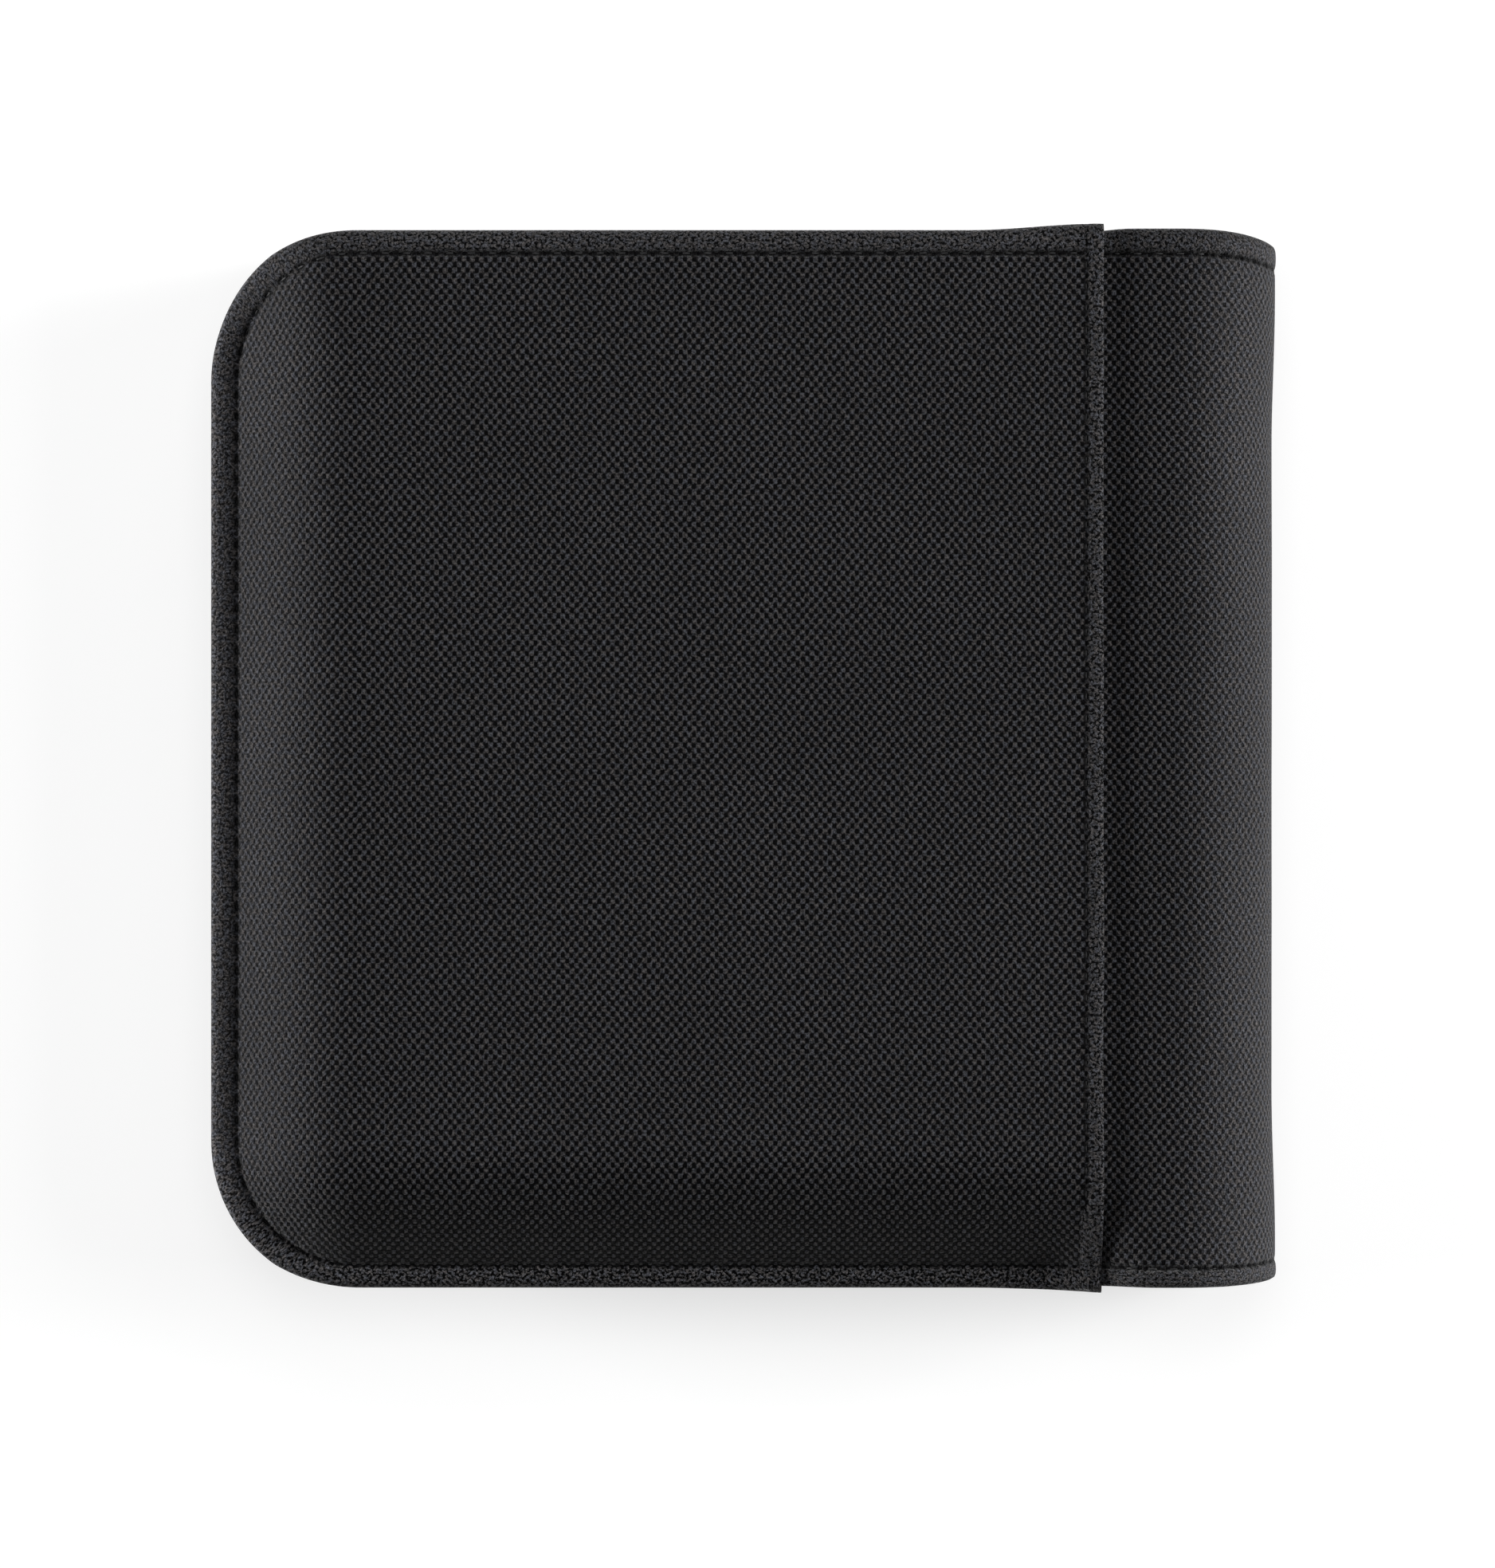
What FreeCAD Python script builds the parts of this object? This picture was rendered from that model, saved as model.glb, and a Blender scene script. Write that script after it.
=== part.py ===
"""A bifold wallet in woven nylon, closed and lying on its back cover.

+X points at the fold, +Y at the mouth of the note compartment, +Z up. The origin is under the
middle of the closed wallet, on the surface it lies on. Each cover is built once, by its height
above the middle plane where the two covers meet, and the back one is the mirror image.
"""
import FreeCAD, Part
import math
import os

Vector = FreeCAD.Vector

# The closed wallet.
WIDTH = 100.0            # opening edge to the outside of the fold
HEIGHT = 99.2            # shell fabric, along the fold
FOLD_RADIUS = 10.0       # outside of the fold; the middle plane is this far above the back
CORNER_RADIUS = 14.0     # the two corners at the opening edge

# Thickness of each layer.
SHELL = 0.5
FOAM = 0.6
LINING = 0.3
PANEL = 0.35             # note compartment's inner wall and the card slots
POCKET = 0.5             # slip pocket on the front
TAPE = 1.2               # width of the tape that binds the inner layers' edge at the fold

# Clearances.
MIDDLE_GAP = 0.1         # each cover stays this far from the middle plane
LAYER_GAP = 0.15         # between the card slots
POCKET_GAP = 0.3         # between the slip pocket and the shell
JOINT_GAP = 0.06         # each strip of the fold ends this far before its hinge line

# The sewn rim, and the slopes that lead from it up to the flat of a cover.
RIM_WIDTH = 2.6
TURNED_EDGE = 0.4        # shell fabric turned down round the rim
LEFT_SLOPE = 7.4
BOTTOM_SLOPE = 6.4
CROWN_RADIUS = 7.0       # corners of the flat of a cover
SEWN_LENGTH = 84.0       # bottom seam, from the opening edge to the tape

# The slip pocket, the card slots and the thread.
POCKET_LENGTH = 84.0     # opening edge to the pocket's mouth
POCKET_OVERHANG = 0.4    # the pocket panel stands out past the shell at top and bottom
POCKET_HEM = 1.6
MOUTH_SETBACK = 4.0      # the inner wall stops this far below the shell's top edge
SLOT_NAMES = ("low", "mid", "top")
LOW_SLOT_TOP = 44.0      # bottom edge of the wallet to the low slot's mouth
SLOT_STEP = 12.0
SLOT_DEPTH = 52.0
STITCH_INSET = 2.1
THREAD_WIDTH = 0.4
THREAD_DEPTH = 0.15

# The fold, as flat strips between hinge lines that keep the fabric's length.
STRIPS = 3

# Worked out from the sizes above.
TURN = math.pi / (STRIPS + 1)
STRIP_LENGTH = TURN * FOLD_RADIUS
HINGE_REACH = STRIP_LENGTH / 2 / math.sin(TURN / 2)
HINGE_DEPTH = FOLD_RADIUS - HINGE_REACH * math.cos(TURN / 2)
LEFT = -WIDTH / 2
FOLD_X = WIDTH / 2 - FOLD_RADIUS
BOTTOM = -HEIGHT / 2
TOP = HEIGHT / 2
HINGE_X = FOLD_X + HINGE_REACH * math.sin(TURN / 2)
COVER_END = HINGE_X - JOINT_GAP
LAYERS = len(SLOT_NAMES) + 1
SEAM_TOP = MIDDLE_GAP + LAYERS * (PANEL + LAYER_GAP)
RIM_TOP = SEAM_TOP + LINING + SHELL
SEWN_END = LEFT + SEWN_LENGTH
PANEL_END = SEWN_END - TAPE
POCKET_END = LEFT + POCKET_LENGTH
CROWN_LEFT = LEFT + RIM_WIDTH + LEFT_SLOPE
CROWN_BOTTOM = BOTTOM + RIM_WIDTH + BOTTOM_SLOPE


def block(low, high):
    """A box from its lowest to its highest corner."""
    size = [b - a for a, b in zip(low, high)]
    return Part.makeBox(*size, Vector(*low))


def outline(left, right, bottom, top, radius, height):
    """A rectangle whose two corners at the opening edge are round."""
    bend = radius * (1 - math.sqrt(0.5))
    points = {
        "fold_bottom": Vector(right, bottom, height),
        "bottom_in": Vector(left + radius, bottom, height),
        "bottom_mid": Vector(left + bend, bottom + bend, height),
        "bottom_out": Vector(left, bottom + radius, height),
        "top_out": Vector(left, top - radius, height),
        "top_mid": Vector(left + bend, top - bend, height),
        "top_in": Vector(left + radius, top, height),
        "fold_top": Vector(right, top, height),
    }
    return Part.Wire([
        Part.LineSegment(points["fold_bottom"], points["bottom_in"]).toShape(),
        Part.Arc(points["bottom_in"], points["bottom_mid"], points["bottom_out"]).toShape(),
        Part.LineSegment(points["bottom_out"], points["top_out"]).toShape(),
        Part.Arc(points["top_out"], points["top_mid"], points["top_in"]).toShape(),
        Part.LineSegment(points["top_in"], points["fold_top"]).toShape(),
        Part.LineSegment(points["fold_top"], points["fold_bottom"]).toShape(),
    ])


def prism(wire, thickness):
    """The area inside a level outline, given a thickness upwards."""
    return Part.Face(wire).extrude(Vector(0, 0, thickness))


def rim_outline(inset, end, height, overhang=0.0):
    """The cover's outer edge, moved in all round except at the top and at the fold."""
    return outline(LEFT + inset, end, BOTTOM - overhang + inset, TOP + overhang,
                   CORNER_RADIUS - inset, height)


def crown_outline(end, height):
    """The edge of the flat of a cover."""
    return outline(CROWN_LEFT, end, CROWN_BOTTOM, TOP, CROWN_RADIUS, height)


def pan(rim_height, crown_height, thickness, end):
    """Fabric that rises from the rim to the flat of a cover, open at the top and at the fold."""
    def mound(drop):
        return Part.makeLoft([rim_outline(RIM_WIDTH, end, rim_height - drop),
                              crown_outline(end, crown_height - drop)], True, True)
    foot = prism(rim_outline(RIM_WIDTH, end, rim_height - thickness), thickness)
    return mound(0).fuse(foot).cut(mound(thickness))


def rim(outer_inset, inner_inset, low, high, end, overhang=0.0):
    """A level band along the opening edge and the bottom."""
    outer = prism(rim_outline(outer_inset, end, low, overhang), high - low)
    inner = prism(rim_outline(inner_inset, end + 1, low - 1), high - low + 2)
    return outer.cut(inner).common(block((LEFT - 1, BOTTOM - 5, low - 1), (end, TOP, high + 1)))


def fold_opening(end, depth):
    """The room beside the fold where the bottom edge isn't sewn down."""
    return block((SEWN_END, BOTTOM - 1, -1), (end + 1, CROWN_BOTTOM + 1, FOLD_RADIUS - depth))


def fold_tab(end, depth, thickness):
    """Level fabric beside the fold, down to the bottom edge."""
    low = FOLD_RADIUS - depth - thickness
    return block((SEWN_END, BOTTOM, low), (end, CROWN_BOTTOM + 1, FOLD_RADIUS - depth))


def draped(depth_at_rim, depth_at_crown, thickness, end, outer_inset):
    """A layer that covers the whole of one cover: rim, slopes, flat and the tab at the fold."""
    rim_high = RIM_TOP - depth_at_rim
    crown_high = FOLD_RADIUS - depth_at_crown
    sheet = pan(rim_high, crown_high, thickness, end)
    sheet = sheet.cut(fold_opening(end, depth_at_crown + thickness))
    band = rim(outer_inset, RIM_WIDTH, rim_high - thickness, rim_high, SEWN_END)
    return sheet.fuse([band, fold_tab(end, depth_at_crown, thickness)])


def thread_band(height, end):
    """Thread round the rim, sunk into the fabric below this height."""
    half = THREAD_WIDTH / 2
    band = rim(STITCH_INSET - half, STITCH_INSET + half, height - THREAD_DEPTH, height, end)
    return band.common(block((LEFT, BOTTOM, -1), (end, TOP - CORNER_RADIUS, 2 * FOLD_RADIUS)))


def thread_along_x(x_from, x_to, y, height):
    half = THREAD_WIDTH / 2
    return block((x_from, y - half, height - THREAD_DEPTH), (x_to, y + half, height))


def thread_along_y(y_from, y_to, x, height):
    half = THREAD_WIDTH / 2
    return block((x - half, y_from, height - THREAD_DEPTH), (x + half, y_to, height))


def shell():
    """Outer fabric of a cover, turned down round the rim."""
    sheet = draped(0, 0, SHELL, COVER_END, TURNED_EDGE)
    edge = rim(0, TURNED_EDGE, MIDDLE_GAP, RIM_TOP, SEWN_END)
    return sheet.fuse(edge)


def foam():
    """Thin padding between the flat of the shell and the lining."""
    low = FOLD_RADIUS - SHELL - FOAM
    sheet = outline(CROWN_LEFT, FOLD_X, CROWN_BOTTOM, TOP - RIM_WIDTH, CROWN_RADIUS, low)
    return prism(sheet, FOAM)


def lining():
    """Inner face of the note compartment, under the shell and the foam."""
    depth = SHELL + FOAM + LINING - HINGE_DEPTH
    end = COVER_END - depth * math.tan(TURN / 2)
    return draped(SHELL, SHELL + FOAM, LINING, end, TURNED_EDGE)


def seam_allowance():
    """Folded edges of the inner layers, packed inside the rim."""
    return rim(TURNED_EDGE, RIM_WIDTH, MIDDLE_GAP, SEAM_TOP, SEWN_END)


def layer(number, y_from, y_to):
    """One flat inner layer, counted from the middle plane outwards."""
    low = MIDDLE_GAP + LAYER_GAP / 2 + number * (PANEL + LAYER_GAP)
    sheet = prism(rim_outline(RIM_WIDTH, PANEL_END, low), PANEL)
    return sheet.common(block((LEFT, y_from, low - 1), (PANEL_END, y_to, low + 1)))


def inner_wall():
    return layer(len(SLOT_NAMES), BOTTOM, TOP - MOUTH_SETBACK)


def card_slot(number):
    mouth = BOTTOM + LOW_SLOT_TOP + number * SLOT_STEP
    foot = BOTTOM if number == 0 else mouth - SLOT_DEPTH
    return layer(number, foot, mouth)


def inner_tape():
    """Tape that closes the inner layers at the fold."""
    return block((PANEL_END, BOTTOM + RIM_WIDTH, MIDDLE_GAP),
                 (SEWN_END, TOP - MOUTH_SETBACK, SEAM_TOP))


def tape_stitching():
    low = MIDDLE_GAP + THREAD_DEPTH
    return thread_along_y(BOTTOM + RIM_WIDTH + 1, TOP - MOUTH_SETBACK - 1,
                          (PANEL_END + SEWN_END) / 2, low)


def mouth_stitching(x_from):
    """Thread beside the shell's free edges, at the top and beside the fold at the bottom."""
    upper = thread_along_x(x_from, COVER_END, TOP - STITCH_INSET, FOLD_RADIUS)
    lower = thread_along_x(max(x_from, SEWN_END), COVER_END, BOTTOM + STITCH_INSET, FOLD_RADIUS)
    return [upper, lower]


def slip_pocket():
    """Front panel, sewn down on three sides, with its mouth towards the fold."""
    under = FOLD_RADIUS + POCKET_GAP
    crown = under + POCKET
    sloped_end = min(POCKET_END, SEWN_END)
    panel = pan(RIM_TOP + POCKET, crown, POCKET, POCKET_END)
    panel = panel.cut(block((sloped_end, BOTTOM - 1, -1), (POCKET_END + 1, CROWN_BOTTOM, under)))
    band = rim(0, RIM_WIDTH, RIM_TOP, RIM_TOP + POCKET, sloped_end, POCKET_OVERHANG)
    sewn_top = block((CROWN_LEFT + CROWN_RADIUS, TOP - RIM_WIDTH, FOLD_RADIUS),
                     (POCKET_END, TOP + POCKET_OVERHANG, crown))
    hem = block((POCKET_END - POCKET_HEM, CROWN_BOTTOM, FOLD_RADIUS + POCKET_GAP / 2),
                (POCKET_END, TOP, crown))
    pieces = [band, sewn_top, hem]
    if POCKET_END > SEWN_END:
        pieces.append(block((SEWN_END, BOTTOM - POCKET_OVERHANG, FOLD_RADIUS),
                            (POCKET_END, CROWN_BOTTOM + 1, crown)))
    return panel.fuse(pieces)


def pocket_threads():
    """Thread on the slip pocket: round its rim, along its top and along its mouth."""
    crown = FOLD_RADIUS + POCKET_GAP + POCKET
    along_rim = thread_band(RIM_TOP + POCKET, min(POCKET_END, SEWN_END))
    along_top = thread_along_x(CROWN_LEFT + CROWN_RADIUS + 1, POCKET_END,
                               TOP - STITCH_INSET, crown)
    along_mouth = thread_along_y(CROWN_BOTTOM + 1, TOP - STITCH_INSET - 1,
                                 POCKET_END - POCKET_HEM, crown)
    return along_rim, along_top, along_mouth


def inner_parts():
    """What both covers hold inside their shell."""
    parts = {"foam": foam(), "lining": lining(), "seam_allowance": seam_allowance(),
             "inner_wall": inner_wall(), "tape_stitching": tape_stitching()}
    parts["inner_tape"] = inner_tape().cut(parts["tape_stitching"])
    for number, name in enumerate(SLOT_NAMES):
        parts["card_slot_" + name] = card_slot(number)
    return parts


def back_parts():
    parts = inner_parts()
    parts["edge_stitching"] = thread_band(RIM_TOP, SEWN_END)
    runs = mouth_stitching(CROWN_LEFT + CROWN_RADIUS)
    parts["mouth_stitching"] = Part.makeCompound(runs)
    parts["shell"] = shell().cut([parts["edge_stitching"], *runs])
    return parts


def front_parts():
    parts = inner_parts()
    along_rim, along_top, along_mouth = pocket_threads()
    runs = mouth_stitching(POCKET_END)
    parts["edge_stitching"] = along_rim
    parts["mouth_stitching"] = Part.makeCompound([along_top, *runs])
    parts["pocket_stitching"] = along_mouth
    parts["slip_pocket"] = slip_pocket().cut([along_rim, along_top, along_mouth])
    parts["shell"] = shell().cut(runs)
    return parts


def on_the_back(shape):
    """Turn a cover built upwards from the middle plane into the back cover."""
    flipped = shape.mirror(Vector(0, 0, 0), Vector(0, 0, 1))
    flipped.translate(Vector(0, 0, FOLD_RADIUS))
    return flipped


def on_the_front(shape):
    raised = shape.copy()
    raised.translate(Vector(0, 0, FOLD_RADIUS))
    return raised


def hinge_point(number):
    """A hinge line's place in X and Z; line 0 is beside the back cover."""
    angle = TURN * (number + 0.5)
    return Vector(FOLD_X + HINGE_REACH * math.sin(angle), 0,
                  FOLD_RADIUS - HINGE_REACH * math.cos(angle))


def strip_piece(number, outer, inner, y_from, y_to):
    """Part of a strip of the fold, between two depths below the outside of the fold."""
    start, finish = hinge_point(number), hinge_point(number + 1)
    along = (finish - start).normalize()
    out = Vector(along.z, 0, -along.x)
    corners = []
    for depth in (outer, inner):
        inward = max(0.0, depth - HINGE_DEPTH)
        trim = JOINT_GAP + inward * math.tan(TURN / 2)
        ends = [start + along * trim, finish - along * trim]
        if depth == inner:
            ends.reverse()
        corners += [end + out * (HINGE_DEPTH - depth) for end in ends]
    face = Part.Face(Part.makePolygon([*corners, corners[0]]))
    face.translate(Vector(0, y_from, 0))
    return face.extrude(Vector(0, y_to - y_from, 0))


def strip_parts(number):
    half = THREAD_WIDTH / 2
    threads = []
    for y in (BOTTOM + STITCH_INSET, TOP - STITCH_INSET):
        threads.append(strip_piece(number, 0, THREAD_DEPTH, y - half, y + half))
    whole = strip_piece(number, 0, SHELL, BOTTOM, TOP)
    return {"shell": whole.cut(threads),
            "lining": strip_piece(number, SHELL, SHELL + LINING, BOTTOM, TOP),
            "stitching": Part.makeCompound(threads)}


def save(name, shape):
    solids = shape.Solids
    kept = solids[0] if len(solids) == 1 else Part.makeCompound(solids)
    kept.exportStep(os.path.join("parts", name + ".step"))
    box = kept.BoundBox
    print(f"{name:24s} {len(solids)} solid(s) {kept.Volume:9.2f} mm3  valid {kept.isValid()}"
          f"  z {box.ZMin:6.2f} to {box.ZMax:6.2f}")


def main():
    os.makedirs("parts", exist_ok=True)
    for name, shape in back_parts().items():
        save("back_" + name, on_the_back(shape))
    for name, shape in front_parts().items():
        save("front_" + name, on_the_front(shape))
    for number in range(STRIPS):
        for name, shape in strip_parts(number).items():
            save(f"spine_{name}_{number + 1}", shape)
    for number in range(STRIPS + 1):
        point = hinge_point(number)
        print(f"hinge {number + 1}: x {point.x:.4f} z {point.z:.4f}")


main()
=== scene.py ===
# %% [markdown]
# # A bifold wallet in woven nylon
#
# The wallet lies closed on its back cover. Two covers meet at a middle plane, a soft fold joins
# them, and a slip pocket is sewn on the front. Every piece of cloth is made flat first, as a
# grid of small squares, and then each point is moved to where the sewn cloth lies. That is how
# the real thing is made too, and it keeps one honest record per point: where the point was on
# the flat cloth, and how far it is from the nearest seam. The weave and the needle holes are
# drawn from those two records, so they follow the cloth over every slope.
#
# The script works in millimetres and turns them into metres where a mesh is stored.

# %% The frame, and the tools
import math

import bmesh
import bpy
from mathutils import Matrix, Vector, noise


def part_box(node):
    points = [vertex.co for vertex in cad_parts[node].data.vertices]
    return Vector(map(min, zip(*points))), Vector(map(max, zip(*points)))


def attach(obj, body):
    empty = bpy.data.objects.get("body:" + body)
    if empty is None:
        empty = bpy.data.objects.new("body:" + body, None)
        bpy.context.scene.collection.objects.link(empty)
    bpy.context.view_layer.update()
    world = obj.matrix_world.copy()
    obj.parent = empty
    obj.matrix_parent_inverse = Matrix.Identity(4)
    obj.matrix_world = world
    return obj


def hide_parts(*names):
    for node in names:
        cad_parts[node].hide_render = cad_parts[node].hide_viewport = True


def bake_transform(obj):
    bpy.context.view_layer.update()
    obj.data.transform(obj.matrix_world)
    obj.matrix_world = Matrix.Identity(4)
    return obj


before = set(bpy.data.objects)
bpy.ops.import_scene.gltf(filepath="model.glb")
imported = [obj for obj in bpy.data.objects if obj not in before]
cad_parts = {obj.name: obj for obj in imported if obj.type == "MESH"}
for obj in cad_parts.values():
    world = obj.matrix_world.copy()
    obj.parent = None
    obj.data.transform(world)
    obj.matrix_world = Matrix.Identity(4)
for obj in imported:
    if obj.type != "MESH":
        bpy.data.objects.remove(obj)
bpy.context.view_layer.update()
MM = 0.001
COVERS = ((1, "front_cover", "front"), (-1, "back_cover", "back"))


def corners(node):
    """Lowest and highest corner of a CAD node, in millimetres."""
    return [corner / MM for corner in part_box(node)]


shell_low, shell_high = corners("front_shell")
_, pocket_high = corners("front_slip_pocket")
_, strip_high = corners("spine_shell_2")
rim_low, _ = corners("back_edge_stitching")
LEFT, RIGHT = shell_low.x, strip_high.x
BOTTOM, TOP = shell_low.y, shell_high.y
RADIUS = shell_high.z / 2
FOLD_X = RIGHT - RADIUS
RIM = RADIUS - rim_low.z
POCKET_END = pocket_high.x
POCKET_LIFT = pocket_high.z - shell_high.z
print(f"covers {RIGHT - LEFT:.1f} by {TOP - BOTTOM:.1f} mm, fold radius {RADIUS:.1f}, rim {RIM:.2f}")

# %% [markdown]
# ## The camera comes first
#
# The wallet is seen from straight above, from far enough away that its sides hardly show. A long
# lens does that. The frame is a little wider than the wallet, and the wallet sits slightly above
# the middle of it.

# %% The camera
SEEN_WIDTH = 140.3       # mm across the frame at the rim's height
EYE = Vector((0.35, -2.1, 813.0))
SENSOR = 36.0


def make_camera():
    data = bpy.data.cameras.new("camera")
    data.sensor_fit = "HORIZONTAL"
    data.sensor_width = SENSOR
    data.lens = SENSOR * (EYE.z - RADIUS - RIM) / SEEN_WIDTH
    data.clip_start = 0.01
    camera = bpy.data.objects.new("camera", data)
    camera.location = EYE * MM
    bpy.context.scene.collection.objects.link(camera)
    bpy.context.scene.camera = camera
    return camera


camera = make_camera()
print(f"lens {camera.data.lens:.0f} mm")

# %% [markdown]
# ## Shader maths as Python
#
# A shader is a graph of nodes, and long sums are hard to read as a graph. `Wire` wraps one socket,
# so that `1 - mask * 2` adds the Math nodes by itself. Anything else is made by `make`.

# %% Wire: a socket that takes part in arithmetic
class Wire:
    """A shader socket that can be added and multiplied like a number."""

    def __init__(self, tree, socket):
        self.tree = tree
        self.socket = socket

    def make(self, kind, settings=(), inputs=(), output=0):
        """A node of this kind, with its settings set first and then its sockets."""
        node = self.tree.nodes.new(kind)
        for name, value in dict(settings).items():
            setattr(node, name, value)
        for key, value in dict(inputs).items():
            if isinstance(value, Wire):
                self.tree.links.new(value.socket, node.inputs[key])
            else:
                node.inputs[key].default_value = value
        return Wire(self.tree, node.outputs[output])

    def math(self, operation, *values):
        return self.make("ShaderNodeMath", {"operation": operation}, enumerate(values))

    def __add__(self, other):
        return self.math("ADD", self, other)

    __radd__ = __add__

    def __sub__(self, other):
        return self.math("SUBTRACT", self, other)

    def __rsub__(self, other):
        return self.math("SUBTRACT", other, self)

    def __mul__(self, other):
        return self.math("MULTIPLY", self, other)

    __rmul__ = __mul__

    def __truediv__(self, other):
        return self.math("DIVIDE", self, other)

    def step(self, low, high):
        """0 below low, 1 above high, and smooth between them."""
        inputs = {"Value": self, "From Min": low, "From Max": high}
        return self.make("ShaderNodeMapRange", {"interpolation_type": "SMOOTHSTEP"}, inputs)

    def split(self):
        """The three parts of a vector."""
        parts = self.make("ShaderNodeSeparateXYZ", (), {"Vector": self})
        return [Wire(self.tree, socket) for socket in parts.socket.node.outputs]

    def scaled(self, factors):
        settings = {"operation": "MULTIPLY"}
        return self.make("ShaderNodeVectorMath", settings, {0: self, 1: factors})

    def speckle(self, scale, detail=2.0):
        """Cloudy noise from 0 to 1, read at this vector."""
        return self.make("ShaderNodeTexNoise", (), {"Vector": self, "Scale": scale, "Detail": detail})

    def mixed(self, first, second):
        """A colour between two, by this factor."""
        inputs = {"Factor": self, 6: first, 7: second}
        return self.make("ShaderNodeMix", {"data_type": "RGBA"}, inputs, 2)


def new_material(name, sheen=0.0, specular=0.3):
    """A material with a Principled shader, and a Wire to start its graph from."""
    material = bpy.data.materials.new(name)
    material.use_nodes = True
    shader = material.node_tree.nodes["Principled BSDF"]
    shader.inputs["Specular IOR Level"].default_value = specular
    shader.inputs["Sheen Weight"].default_value = sheen
    shader.inputs["Sheen Roughness"].default_value = 0.35
    return material, shader, Wire(material.node_tree, None)


def plug(tree, wire, socket):
    tree.links.new(wire.socket, socket)


def finished(material, shader, colour, roughness, bump):
    """Plug in the three things that vary over this wallet's cloths, foam and thread."""
    for wire, socket in ((colour, "Base Color"), (roughness, "Roughness"), (bump, "Normal")):
        plug(material.node_tree, wire, shader.inputs[socket])
    return material


def rgb(red, green, blue):
    return (red, green, blue, 1.0)


# %% [markdown]
# ## The weave
#
# The shell is a plain weave of thick, textured nylon yarn: over one, under one, both ways. Where
# the lengthwise yarns dive under, a small dark pit is left, and the pits stand like the black
# squares of a chessboard. The product of two cosines, one along each yarn direction, is exactly
# that board with rounded squares: +1 in the pits, -1 on the raised knots, 0 on the threads that
# net them together. The alternative is two sets of stripes with an over-and-under mask, which
# takes more nodes to give the same board.
#
# Each cloth carries three vectors per point. `cloth` is the place on the flat cloth in mm. `seam`
# holds the distance inwards from the nearest stitch line, the run along it, and how much painted
# shade falls on the turned edge along the top and bottom. The third holds painted light that pales
# the weave's pits on the lit slopes and by the fold and, where it is below 0, painted shade that
# deepens them on the bottom slope; then how dark the seam is and how pale its hem.

# %% The weave's sizes
YARN_ACROSS = 0.42       # mm from one lengthwise yarn to the next
YARN_ALONG = 0.50
STITCH = 2.0             # mm from one needle hole to the next
HOLE = 0.42              # mm, radius of the painted shade in the dimple at a needle hole
INSET = 2.5              # mm from a cover's edge to its stitch line
TAU = 2 * math.pi


def plain_weave(cloth, pitch_across, pitch_along, wander):
    """Pits (+1) and knots (-1) of a plain weave, with yarns that wander a little."""
    wobble = cloth.speckle(0.35, 1.0) - 0.5
    across, along, _ = cloth.split()
    first = (across / pitch_across + wobble * wander) * math.pi
    second = (along / pitch_along + wobble * wander * 0.7) * math.pi
    return first.math("COSINE", first) * second.math("COSINE", second)


def needle_marks(start, marked):
    """How much of a needle hole with its painted shade, a sunk seam line, a hem and painted shade on the
    turned edge is at this point.
    """
    seam = start.make("ShaderNodeAttribute", {"attribute_name": "seam"}, (), 1)
    gap, run, pressed = seam.split()
    beside = run.math("PINGPONG", run, STITCH / 2)
    away = gap.math("SQRT", gap * gap + beside * beside * 0.45)
    # the needle hole's dark dimple is painted shade
    hole = 1 - away.step(HOLE * 0.3, HOLE * 1.2)
    ragged = seam.speckle(1.3, 2.0) - 0.5
    line = 1 - (gap.math("ABSOLUTE", gap) + ragged * 0.4 * marked).step(0.04, 0.04 + 0.42 * marked)
    dash = 1 - beside.step(0.35, 0.8)
    line = line * dash.math("MAXIMUM", dash, marked.step(0.5, 0.9))
    hem = 1 - gap.step(-0.5, 0.0)
    # painted shade on the turned edge along the top and bottom, where it rolls under
    under = (1 - gap.step(-INSET + 0.1, -INSET + 1.1)) * pressed
    return hole, line, hem, under


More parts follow.
